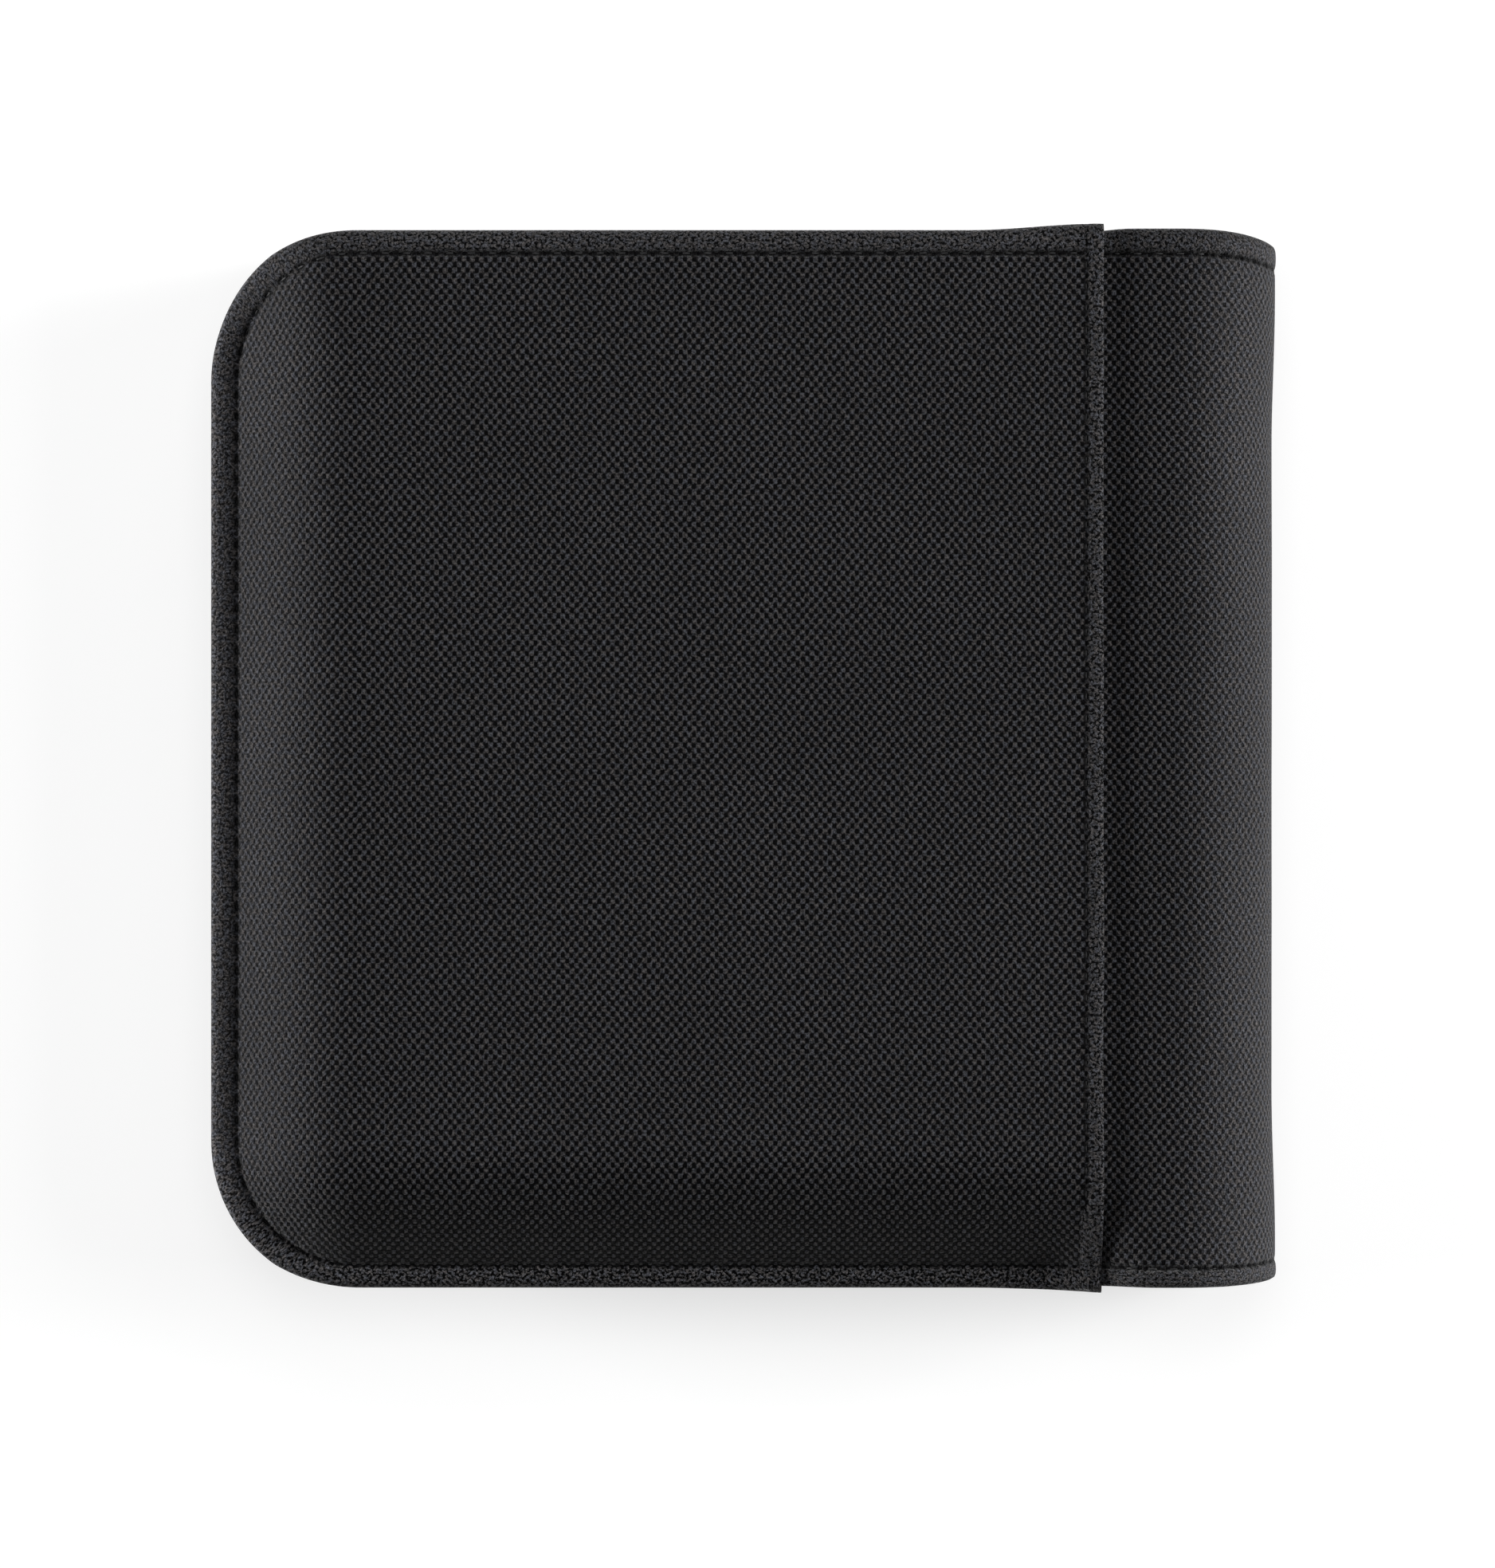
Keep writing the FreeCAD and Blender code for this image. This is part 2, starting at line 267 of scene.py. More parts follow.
# %% The nylon cloth material
def nylon(name, net, pit, pitch=(YARN_ACROSS, YARN_ALONG), depth=0.13, sheen=0.12, wander=0.5):
    """Plain-woven nylon: a pale net of yarn round dark pits, with needle marks along its seams. The pits
    are painted shade over the yarn's own black, and the knots carry a painted highlight.
    """
    material, shader, start = new_material(name, sheen, 0.04)
    cloth = start.make("ShaderNodeAttribute", {"attribute_name": "cloth"}, (), 1)
    pit_light, marked, pale = start.make("ShaderNodeAttribute", {"attribute_name": "shade_and_tone"}, (), 1).split()
    hole, line, hem, under = needle_marks(start, marked)
    tuft = cloth.scaled((1.0, 0.8, 1.0)).speckle(2.6, 2.0) - 0.5
    lint = cloth.speckle(3.5, 2.0) - 0.53
    weave = plain_weave(cloth, pitch[0], pitch[1], wander) * (1 - hem * 0.6)
    # painted light from the third record narrows and pales the pits on the lit slopes and by the fold,
    # and painted shade deepens them on the bottom slope
    board = weave + tuft * 1.2 + lint * hem * 9.0 - pit_light * 0.8
    fleck = cloth.speckle(5.2, 2.0).step(0.4, 0.62)
    cloud = cloth.speckle(0.05, 2.0)
    # the pits' near-black colour is painted shade in the weave's recesses, over the yarn's own black
    hollow = board.step(-0.33, 0.42) * (0.97 - pit_light)
    # the raised knots are made lighter: a painted highlight
    knot = (0 - board).step(0.2, 1.0)
    shade = (0.28 + fleck * 1.4 + knot * 0.42) * (0.8 + cloud * 0.4)
    # the hem is paler, and the turned edge along the top and bottom gets painted shade
    shade = shade * (1 + hem * pale) * (1 - under * 0.5)
    warm, cool = rgb(net[0] * 1.08, net[1], net[2] * 0.95), rgb(net[0] * 0.97, net[1], net[2] * 1.1)
    tint = cloth.speckle(1.6, 2.0).step(0.4, 0.6).mixed(warm, cool)
    yarn = start.make("ShaderNodeVectorMath", {"operation": "SCALE"}, {0: tint, "Scale": shade})
    dark = hollow.math("MAXIMUM", hollow, hole)
    dark = dark.math("MAXIMUM", dark, line * marked)
    colour = dark.mixed(yarn, rgb(*pit))
    height = 0.3 * knot - hollow + fleck * 0.3 - hole * 1.6 - line * marked
    bump = start.make("ShaderNodeBump", (), {"Height": height, "Distance": depth * MM, "Strength": 1.0})
    return finished(material, shader, colour, 0.6 + hollow * 0.4, bump)


# the net's colour, then the pits' colour, which is painted shade
SHELL_CLOTH = nylon("shell nylon", (0.0335, 0.0335, 0.0352), (0.0008, 0.0008, 0.001))
print("weave:", len(SHELL_CLOTH.node_tree.nodes), "nodes")

# %% [markdown]
# ## The shape of a cover
#
# A cover is flat in the middle. At the opening edge and along the bottom it is sewn down to a
# thin rim, so it falls away in a curve that is steepest at the stitch line. At the top nothing
# pulls it down, because that edge is the mouth of the note compartment, and the same holds beside
# the fold. `loose` says which of the two a point's nearest edge is.
#
# Heights are counted from the middle plane, so both covers use the same function.

# %% Small helpers for shapes
CORNER = 14.0            # plan radius of the two corners at the opening edge
SLOPE = 12.0             # the fall's width from the stitch line, at the opening edge
FOOT_SLOPE = 10.0        # and along the bottom
LEVEL_FROM = 28.0        # x where the bottom edge starts to rise towards the fold
LEVEL_BY = 39.0
EDGE_ROUND = 0.7
HEM_RISE = 0.18          # mm that a hem swells
GROOVE = 0.18            # mm that its stitch line is sunk
GROOVE_WIDTH = 0.28


def ease(value):
    """0 to 1, with no corner at either end."""
    value = min(max(value, 0.0), 1.0)
    return value * value * (3 - 2 * value)


def corner_offset(x, y):
    """How far a point is past the centre of its corner's arc, outwards in x and in y."""
    return LEFT + CORNER - x, abs(y) - (TOP - CORNER)


def edge_inset(x, y):
    """Distance inwards from the cover's outline, leaving out the fold's side."""
    out_x, out_y = corner_offset(x, y)
    if out_x > 0 and out_y > 0:
        return CORNER - math.hypot(out_x, out_y)
    return min(x - LEFT, TOP - abs(y))


def up_slope(x, y, seam=INSET):
    """How far up the slope a point is: 0 at the sewn rim, 1 where the cover is level."""
    out_x, out_y = corner_offset(x, y)
    if out_x > 0 and out_y > 0:
        turned = math.atan2(out_y, out_x) / (math.pi / 2)
        width = SLOPE + (FOOT_SLOPE - SLOPE) * turned * (y < 0)
        share = (CORNER - math.hypot(out_x, out_y) - seam) / width
    else:
        share = (x - LEFT - seam) / SLOPE
        if y < 0:
            share = min(share, (y - BOTTOM - seam) / FOOT_SLOPE)
        elif out_y > 0:
            share = 1.0
    return min(max(share, 0.0), 1.0)


def shade_and_tone_at(x, y):
    """Painted light in the weave's pits (painted shade on the bottom slope), how dark the seam is and
    how pale its hem.
    """
    _, out_y = corner_offset(x, y)
    foot = ease((-y - 35.0) / 10.0)
    bare = ease((x - 24.0) / 12.0)
    # painted light: the pits are paler on the lit left slope and by the fold, and darker with painted
    # shade on the bottom slope
    pit_light = 0.25 * ease((-36.5 - x) / 8.0) * (1 - foot) + 0.3 * ease((x - 39.0) / 8.0)
    pit_light -= 0.35 * foot * (1 - bare) * ease((x + 44.0) / 10.0)
    if out_y > 0 and y > 0:
        return pit_light, 0.6 + 0.4 * ease((x + 44.0) / 10.0), 0.25 - 0.2 * bare
    if out_y > 0:
        return pit_light, 0.5 - 0.3 * ease((x + 36.0) / 12.0) + 0.75 * bare, 0.8 - 0.7 * bare
    return pit_light, 0.32, 0.35


def edge_shade_at(x, y):
    """1 along the top and bottom, where painted shade darkens the turned edge, and 0 at the side."""
    return ease((x + 48.0) / 8.0) * ease((abs(y) - 44.0) / 3.0)


def loose(x, y):
    """0 where the nearest edge is sewn to the rim, 1 where it is free and level."""
    out_x, out_y = corner_offset(x, y)
    turned = 0.0
    if y > 0 and out_y > 0:
        turned = 1.0 if out_x <= 0 else ease((math.degrees(math.atan2(out_y, out_x)) - 12) / 66)
    return max(turned, ease((x - LEVEL_FROM) / (LEVEL_BY - LEVEL_FROM)))


def fall(x, y, rim, crown):
    """Height of the cloth above the middle plane, without its hems."""
    edge = rim + (crown - rim) * loose(x, y)
    return crown - (crown - edge) * (1 - up_slope(x, y)) ** 2


def hem_profile(inset, line=INSET):
    """What a turned hem adds to the height: a rolled edge, a soft swell and a stitched groove."""
    rolled = 0.0
    if inset < EDGE_ROUND:
        reach = EDGE_ROUND - max(inset, 0.0)
        rolled = EDGE_ROUND - math.sqrt(EDGE_ROUND ** 2 - reach ** 2)
    swell = HEM_RISE * math.sin(math.pi * min(inset / line, 1.0))
    groove = GROOVE * math.exp(-((inset - line) / GROOVE_WIDTH) ** 2)
    return swell - rolled - groove


BILLOW = 0.16            # mm of unevenness in a cover's cloth
POCKET_BILLOW = 0.2


def billow(x, y, size=BILLOW):
    """The slow, shallow unevenness that soft goods have away from their seams."""
    calm = ease((edge_inset(x, y) - 1.0) / 9.0) * ease((FOLD_X - x) / 9.0)
    slow = noise.noise(Vector((x / 31.0, y / 27.0, 4.2)))
    return calm * size * (slow + 0.4 * noise.noise(Vector((x / 13.0, y / 15.0, 8.9))))


# %% [markdown]
# ## Flat cloth to sewn cloth
#
# A grid from `bmesh.ops.create_grid` has even squares. Seams need finer ones, so the grid's lines
# are moved to chosen stops: close together at a hem, wide in the middle. Square corners become
# round ones by bending each square ring of the corner into an arc of the same inset, which keeps
# the stitch line a constant distance from the edge.

# %% Grids with chosen lines
FINE = 0.24              # mm between the grid's lines at a seam
COARSE = 0.85            # and away from one
SEAM_BAND = 3.4          # mm in from an edge that is kept fine
RECORDS = ("cloth", "seam", "shade_and_tone")


def stops(low, high, fine_low=0.0, fine_high=0.0, coarse=COARSE):
    """Places from low to high, closer together over the first and last stretch."""
    low_count = round(fine_low / FINE)
    high_count = round(fine_high / FINE)
    places = [low + fine_low * i / low_count for i in range(low_count)]
    start, finish = low + fine_low, high - fine_high
    count = max(1, round((finish - start) / coarse))
    places += [start + (finish - start) * i / count for i in range(count + 1)]
    places += [finish + fine_high * (i + 1) / high_count for i in range(high_count)]
    return places


def grid_cloth(across, along):
    """A bmesh grid on these stops, in mm, with its three vectors per point."""
    bm = bmesh.new()
    bmesh.ops.create_grid(bm, x_segments=len(across) - 1, y_segments=len(along) - 1, size=1)
    for vert in bm.verts:
        column = round((vert.co.x + 1) / 2 * (len(across) - 1))
        row = round((vert.co.y + 1) / 2 * (len(along) - 1))
        vert.co = (across[column], along[row], 0)
    for name in RECORDS:
        bm.verts.layers.float_vector.new(name)
    return bm


def records(bm):
    """The three vectors that each point of a cloth carries."""
    return (bm.verts.layers.float_vector[name] for name in RECORDS)


def extrude_on(bm, edges):
    """Extrude these open edges. Gives the new points and the new open edges."""
    made = bmesh.ops.extrude_edge_only(bm, edges=edges)["geom"]
    fresh = {item for item in made if isinstance(item, bmesh.types.BMVert)}
    return fresh, [item for item in made if isinstance(item, bmesh.types.BMEdge)
                   and all(v in fresh for v in item.verts)]


def round_corner(x, y):
    """Bend the corner's square rings into arcs."""
    out_x, out_y = corner_offset(x, y)
    if out_x <= 0 or out_y <= 0:
        return x, y
    reach = max(out_x, out_y)
    share = out_y / out_x if out_x >= out_y else 2 - out_x / out_y
    angle = share * math.pi / 4
    centre_y = math.copysign(TOP - CORNER, y)
    return (LEFT + CORNER - reach * math.cos(angle),
            centre_y + math.copysign(reach * math.sin(angle), y))


def seam_run(x, y):
    """Length along the stitch line, from the bottom corner's start round to the top."""
    arc = CORNER - INSET
    out_x, out_y = corner_offset(x, y)
    if out_x <= 0:
        along = x - (LEFT + CORNER)
        whole = arc * math.pi + 2 * (TOP - CORNER)
        return whole + along if y > 0 else -along
    if out_y <= 0:
        return arc * math.pi / 2 + y + TOP - CORNER
    angle = math.atan2(out_y, out_x)
    if y < 0:
        return arc * (math.pi / 2 - angle)
    return arc * (math.pi / 2 + angle) + 2 * (TOP - CORNER)


TAKEN = (1.0, 0.4)       # share of a slope's extra length cut into the cloth, in x and in y


def flat_length(x, y, height, step=0.7):
    """Place on the flat cloth of a point on a slope, by walking to it from the level part.

    Along the bottom the seam pulls the weave open, so less cloth goes into the slope there."""
    reach = INSET + SLOPE + 0.5
    lengths = []
    for axis, limit in ((0, LEFT + reach), (1, BOTTOM + reach)):
        place = (x, y)[axis]
        extra = 0.0
        while place < limit:
            after = min(place + step, limit)
            if axis == 0:
                rise = height(after, y) - height(place, y)
            else:
                rise = height(x, after) - height(x, place)
            extra += math.hypot(after - place, rise) - (after - place)
            place = after
        lengths.append((x, y)[axis] - extra * TAKEN[axis])
    return lengths


# %% Storing a bmesh as a piece
def finish_piece(bm, name, material, body=None, nodes=()):
    """Turn a bmesh in millimetres into an object of the wallet."""
    bmesh.ops.scale(bm, vec=(MM, MM, MM), verts=bm.verts)
    for face in bm.faces:
        face.smooth = True
    mesh = bpy.data.meshes.new(name)
    bm.to_mesh(mesh)
    bm.free()
    mesh.materials.append(material)
    piece = bpy.data.objects.new(name, mesh)
    bpy.context.scene.collection.objects.link(piece)
    if body:
        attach(piece, body)
    if nodes:
        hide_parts(*nodes)
    return piece


def finish_sheet(bm, name, material, towards, body=None, nodes=()):
    """The same for an open sheet, with its faces turned towards the side that shows."""
    bmesh.ops.recalc_face_normals(bm, faces=bm.faces)
    total = sum(face.normal.dot(Vector(towards)) * face.calc_area() for face in bm.faces)
    if total < 0:
        bmesh.ops.reverse_faces(bm, faces=bm.faces)
    return finish_piece(bm, name, material, body, nodes)


def thicken(piece, thickness):
    """Give a sheet its thickness, inwards from the side that shows."""
    solid = piece.modifiers.new("thickness", "SOLIDIFY")
    solid.thickness = thickness * MM
    solid.offset = -1
    return piece


# %% [markdown]
# ## The two shells
#
# A shell is one cloth that covers a cover, goes round the fold and covers the other. It is made
# in six lengths, so that each one crosses a single hinge line: two covers, and four quarters of
# the fold. Each length goes on a little way under the next one, so no gap opens between them.
#
# At the rim the cloth is turned down to the middle plane. The grid's edge is extruded downwards
# for that, which is what the sewer's fingers do.

# %% Placing a cover's cloth
TURN_STEPS = 3
FREE_TURN = 1.1          # mm that the cloth is turned down along a free edge


def outward(x, y):
    """The direction in plan from the cloth to its nearest outer edge."""
    out_x, out_y = corner_offset(x, y)
    if out_x > 0 and out_y > 0:
        return Vector((-out_x, math.copysign(out_y, y))).normalized()
    if x - LEFT < TOP - abs(y):
        return Vector((-1.0, 0.0))
    return Vector((0.0, math.copysign(1.0, y)))


def place_cover(bm, rim, crown, size=BILLOW):
    """Move a flat grid to the shape of a cover, above the middle plane at height 0."""
    cloth, seam, shade_and_tone = records(bm)

    def height(x, y):
        return fall(x, y, rim, crown)

    for vert in bm.verts:
        x, y = round_corner(vert.co.x, vert.co.y)
        inset = edge_inset(x, y)
        vert[seam] = (inset - INSET, seam_run(x, y), edge_shade_at(x, y))
        vert[shade_and_tone] = shade_and_tone_at(x, y)
        vert[cloth] = (*flat_length(x, y, height), 0)
        vert.co = (x, y, height(x, y) + hem_profile(inset) + billow(x, y, size))


def at_edge(place):
    """Whether a point of the cloth is on the cover's outline."""
    return edge_inset(place.x, place.y) < 0.01


TUCK = 0.03              # mm that each step of a turned edge goes inwards


def turn_edge(bm, wanted, depth, tuck=TUCK):
    """Extrude the chosen open edges downwards, depth(x, y) in all."""
    cloth, seam, _ = records(bm)
    edges = [edge for edge in bm.edges if edge.is_boundary and all(wanted(v.co) for v in edge.verts)]
    for _ in range(TURN_STEPS):
        fresh, edges = extrude_on(bm, edges)
        for vert in fresh:
            way = outward(vert.co.x, vert.co.y)
            step = depth(vert.co.x, vert.co.y) / TURN_STEPS
            vert[cloth] = vert[cloth] + Vector((way.x * step, way.y * step, 0))
            vert[seam] = vert[seam] - Vector((step, 0, 0))
            vert.co += Vector((-way.x * tuck, -way.y * tuck, -step))


def turned_depth(rim, crown, bottom):
    """How far down a cover's edge is turned: to the rim's foot, or a hem's depth where free."""
    def depth(x, y):
        free = loose(x, y)
        level = rim + (crown - rim) * free - EDGE_ROUND
        return max((level - bottom) * (1 - free), FREE_TURN)
    return depth


SEAM_Y = 47.22           # where the top and bottom seams end up
DRAWN_FROM = 34.0        # mm from the middle where the cloth starts to be drawn in
DRAWN_OVER = 12.0        # mm that it takes to reach the full amount


def draw_in(bm, goals):
    """Shift the top and bottom edges to where this cloth really ends, by its x."""
    for vert in bm.verts:
        vert.co.y = drawn_y(vert.co.x, vert.co.y, goals)


def drawn_y(x, y, goals):
    """The seam is drawn in evenly, and only the hem outside it follows the goal."""
    sign = 1 if y > 0 else -1
    goal = goals(x)[0 if y > 0 else 1]
    seam = TOP - INSET
    beyond = min(max((abs(y) - seam) / INSET, 0.0), 1.0)
    drawn = (SEAM_Y - seam) * ease((abs(y) - DRAWN_FROM) / DRAWN_OVER)
    return y + sign * (drawn + (goal - TOP - SEAM_Y + seam) * beyond)


def set_on(bm, side):
    """Move a cover from the middle plane at 0 to the front (1) or, mirrored, to the back (-1)."""
    for vert in bm.verts:
        vert.co.z = RADIUS + side * vert.co.z


SKIN_REACH = 49.1        # mm from the middle that the shell reaches under the pocket
BARE_MORE = (0.5, -0.1)  # and what is added above and below where it is bare
POCKET_REACH = (49.4, 49.36)
MOUTH_MORE = (0.6, 0.26)  # what is added above and below at the pocket's mouth


def skin_goals(x):
    """How far the shell reaches up and down: it is drawn in under the pocket."""
    bare = ease((x - 30.0) / 6.0)
    return tuple(SKIN_REACH + more * bare for more in BARE_MORE)


def pocket_goals(x):
    """How far the slip pocket reaches: a little more at its mouth."""
    mouth = ease((x - 21.0) / 12.0)
    return tuple(reach + more * mouth for reach, more in zip(POCKET_REACH, MOUTH_MORE))


# %% The shell of each cover
OVERLAP = 0.8            # mm that each length of cloth goes on under the next one
UNDER = 0.02             # mm that it lies below it


def tuck_under(bm, radius):
    """Curl the last column of a cover's cloth round the start of the fold, just under it."""
    for vert in bm.verts:
        turn = (vert.co.x - FOLD_X) / radius
        if turn > 1e-4:
            vert.co.x = FOLD_X + radius * math.sin(turn)
            vert.co.z -= radius * (1 - math.cos(turn)) + UNDER


PRESSED_DOWN = 0.4       # mm that the pocket's mouth presses into the shell
PRESSED_WIDTH = 1.6


def valley(x):
    """How far the pocket's weight of cloth presses the front shell down beside its mouth."""
    return PRESSED_DOWN * math.exp(-((x - POCKET_END) / PRESSED_WIDTH) ** 2)


SHELL_THICK = 0.45
RIM_FOOT = 0.12          # mm from the turned edge to the middle plane


def make_shell(side, body, node):
    across = stops(LEFT, FOLD_X, fine_low=SEAM_BAND) + [FOLD_X + OVERLAP]
    along = stops(BOTTOM, TOP, fine_low=SEAM_BAND, fine_high=SEAM_BAND)
    bm = grid_cloth(across, along)
    place_cover(bm, RIM, RADIUS)
    turn_edge(bm, at_edge, turned_depth(RIM, RADIUS, RIM_FOOT))
    cloth, _, _ = records(bm)
    for vert in bm.verts:
        if side > 0:
            vert.co.z -= valley(vert.co.x) * ease((vert.co.z - RIM) / 4.0)
        else:
            vert[cloth] = (2 * FOLD_X + math.pi * RADIUS - vert[cloth].x, vert[cloth].y, 0)
    draw_in(bm, skin_goals)
    tuck_under(bm, RADIUS)
    set_on(bm, side)
    piece = finish_sheet(bm, node + "_cloth", SHELL_CLOTH, (0, 0, side), body, [node])
    return thicken(piece, SHELL_THICK)


front_shell = make_shell(1, "front_cover", "front_shell")
back_shell = make_shell(-1, "back_cover", "back_shell")
print("front shell:", len(front_shell.data.polygons), "squares")

# %% [markdown]
# ## The fold
#
# The shell and the lining both go round the fold, and they have to bend when the wallet opens.
# Four hinge lines share the turn, and the cloth is made in four quarters, one across each. The
# quarters are not tied to the bodies on either side, so they stay where they are made.
#
# The fold is drawn in a little between its ends, and its free ends are cut back at the middle of
# the turn. Both come from cloth that is pulled tight round a curve.

# %% Cloth round the fold
WAIST = 0.33             # mm that the fold is drawn in between its ends
CUT_BACK = (1.1, 0.4)    # mm that its upper and lower ends are cut back
QUARTERS = 4
QUARTER = math.pi / QUARTERS
FOLD_STEPS = 10          # squares across a quarter of the fold


def fold_place(angle, y, radius, goals=skin_goals):
    """A point on the fold. The angle goes from the back cover, 0, to the front, pi."""
    turn = math.sin(angle)
    end = ease((abs(y) - DRAWN_FROM) / DRAWN_OVER)
    back = -CUT_BACK[0] if y > 0 else CUT_BACK[1]
    y = drawn_y(FOLD_X, y, goals) + back * end * turn ** 3
    drawn = WAIST * (1 - ease((abs(y) - 30.0) / 15.0)) * turn
    ripple = 0.12 * turn * noise.noise(Vector((angle * 1.6, y / 17.0, 2.7)))
    reach = radius + ripple
    return Vector((FOLD_X + reach * turn - drawn, y, RADIUS - reach * math.cos(angle)))


def both_sides(part, strip, ends):
    """The two CAD nodes that a quarter of the fold lies on."""
    nodes = [ends[0], *(f"{strip}_{number}" for number in (1, 2, 3)), ends[1]]
    return nodes[part:part + 2]


def blend_quarter(piece, start, end):
    """Bake the piece's place into its mesh. The fold's points at start and end are worked out but not
    used.
    """
    fold_place(start, 0, RADIUS) * MM
    fold_place(end, 0, RADIUS) * MM
    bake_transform(piece)
    return piece


def make_fold(part, layer, material, radius, thickness, hem):
    """One quarter of the fold, between two neighbouring bodies."""
    angles = [QUARTER * (part + step / FOLD_STEPS) for step in range(-1, FOLD_STEPS + 2)]
    bm = grid_cloth(angles, stops(BOTTOM, TOP, fine_low=SEAM_BAND, fine_high=SEAM_BAND))
    cloth, seam, shade_and_tone = records(bm)
    for vert in bm.verts:
        angle, y = vert.co.x, vert.co.y
        inset = TOP - abs(y)
        run = FOLD_X + RADIUS * (math.pi - angle)
        vert[cloth] = (run, y, 0)
        vert[seam] = (inset - INSET, seam_run(run, y), edge_shade_at(run, y))
        vert[shade_and_tone] = shade_and_tone_at(FOLD_X + RADIUS * min(angle, math.pi - angle), y)
        lift = hem_profile(inset) * (1 - 0.5 * math.sin(angle)) if hem else 0.0
        beyond = abs(angle / QUARTER - part - 0.5) > 0.51
        vert.co = fold_place(angle, y, radius + lift - UNDER * beyond)
    edges = [edge for edge in bm.edges if edge.is_boundary
             and all(vert[seam].x < 0.01 - INSET for vert in edge.verts)]
    for _ in range(TURN_STEPS if hem else 0):
        fresh, edges = extrude_on(bm, edges)
        for vert in fresh:
            step = FREE_TURN / TURN_STEPS
            angle = (math.pi * RADIUS + FOLD_X - vert[cloth].x) / RADIUS
            way = Vector((math.sin(angle), 0, -math.cos(angle)))
            sign = math.copysign(1.0, vert.co.y)
            vert[cloth] = vert[cloth] + Vector((0, sign * step, 0))
            vert[seam] = vert[seam] - Vector((step, 0, 0))
            vert.co -= way * step + Vector((0, sign * TUCK, 0))
    middle = QUARTER * (part + 0.5)
    towards = (math.sin(middle), 0, -math.cos(middle))
    ends = ["back_" + layer, "front_" + layer]
    piece = finish_sheet(bm, f"fold_{layer}_{part + 1}", material, towards, None,
                         both_sides(part, f"spine_{layer}", ends))
    thicken(piece, thickness)
    return blend_quarter(piece, angles[1], angles[-2])


fold_shells = [make_fold(part, "shell", SHELL_CLOTH, RADIUS, SHELL_THICK, True)
               for part in range(QUARTERS)]
print("fold:", len(fold_shells), "quarters")

# %% [markdown]
# ## The slip pocket
#
# A second panel of the same nylon lies over the front shell. It shares the shell's three sewn
# edges and stops short of the fold, where its fourth edge is turned under and stitched down as a
# hem. A ticket or a folded note slides in under that hem.
#
# The hem is made by extruding the grid's last column: over the edge, under it, and back along
# the underside. The thickness then makes two layers of cloth of it, as on the real one.

# %% The slip pocket's panel
POCKET_RIM = RIM + 0.5
POCKET_CROWN = RADIUS + POCKET_LIFT
POCKET_THICK = 0.27
HEM_WIDTH = 1.6
MOUTH_X = POCKET_END - 0.55
UNDERTURN = [(-0.02, -0.17), (-0.10, -0.16), (-0.22, -0.12), (-0.5, -0.03), (-1.2, 0.0)]


def mouth_lift(x, y):
    """What the hem at the mouth adds: rolled at the edge, full between, sunk at the stitches."""
    inset = MOUTH_X - x
    if inset > 6:
        return 0.0
    roll = 0.12 * (1 - ease(inset / 0.3)) + 0.05 * (1 - ease(inset / 0.9))
    swell = 0.13 * math.sin(math.pi * min(inset / HEM_WIDTH, 1.0))
    groove = 0.2 * math.exp(-((inset - HEM_WIDTH) / 0.3) ** 2)
    wave = 0.07 * noise.noise(Vector((y / 4.6, 1.3, 0.4)))
    wave += 0.05 * noise.noise(Vector((y / 1.9, 7.7, 0.4)))
    return swell - roll - groove + wave * (1 - ease(inset / 5.0))


def make_slip_pocket():
    across = stops(LEFT, MOUTH_X, fine_low=SEAM_BAND, fine_high=2.9)
    along = stops(BOTTOM, TOP, fine_low=SEAM_BAND, fine_high=SEAM_BAND)
    bm = grid_cloth(across, along)
    place_cover(bm, POCKET_RIM, POCKET_CROWN, POCKET_BILLOW)
    cloth, seam, shade_and_tone = records(bm)
    for vert in bm.verts:
        vert.co.z += mouth_lift(vert.co.x, vert.co.y)
        gap = MOUTH_X - vert.co.x - HEM_WIDTH
        if gap < vert[seam].x:
            vert[seam] = (gap, vert.co.y, 0)
            vert[shade_and_tone] = (vert[shade_and_tone].x, 0.5, 0.05)
    edges = [edge for edge in bm.edges if all(abs(v.co.x - MOUTH_X) < 1e-4 for v in edge.verts)]
    for shift_x, shift_z in UNDERTURN:
        fresh, edges = extrude_on(bm, edges)
        for vert in fresh:
            vert[cloth] = vert[cloth] + Vector((math.hypot(shift_x, shift_z), 0, 0))
            vert.co = Vector((vert.co.x + shift_x, vert.co.y * 0.998, vert.co.z + shift_z))
    turn_edge(bm, at_edge, lambda x, y: 0.5, tuck=0.02)
    for vert in bm.verts:
        vert.co.x += 0.08 * noise.noise(Vector((vert.co.y / 11.0, 3.1, 0))) * ease((vert.co.x - 26) / 6)
    draw_in(bm, pocket_goals)
    set_on(bm, 1)
    piece = finish_sheet(bm, "slip_pocket_cloth", SHELL_CLOTH, (0, 0, 1), "front_cover",
                         ["front_slip_pocket"])
    return thicken(piece, POCKET_THICK)


slip_pocket = make_slip_pocket()
print("slip pocket:", len(slip_pocket.data.polygons), "squares")

# %% [markdown]
# ## Stitches
#
# Every seam here is a lockstitch, pulled so tight that only the middle of each stitch shows, in a
# dimple of the cloth. Each is a small spindle, thick in the middle and sunk at its ends. There
# are hundreds, so a spindle has only a few dozen faces. The cloth's material draws its dimples at
# the same steps along the seam, as bumps with painted shade in them.

# %% Rows of stitches
THREAD = 0.15            # mm, half the width of a stitch
STITCH_LONG = 1.1
SUNK = 0.05              # mm that a stitch's middle lies below the groove


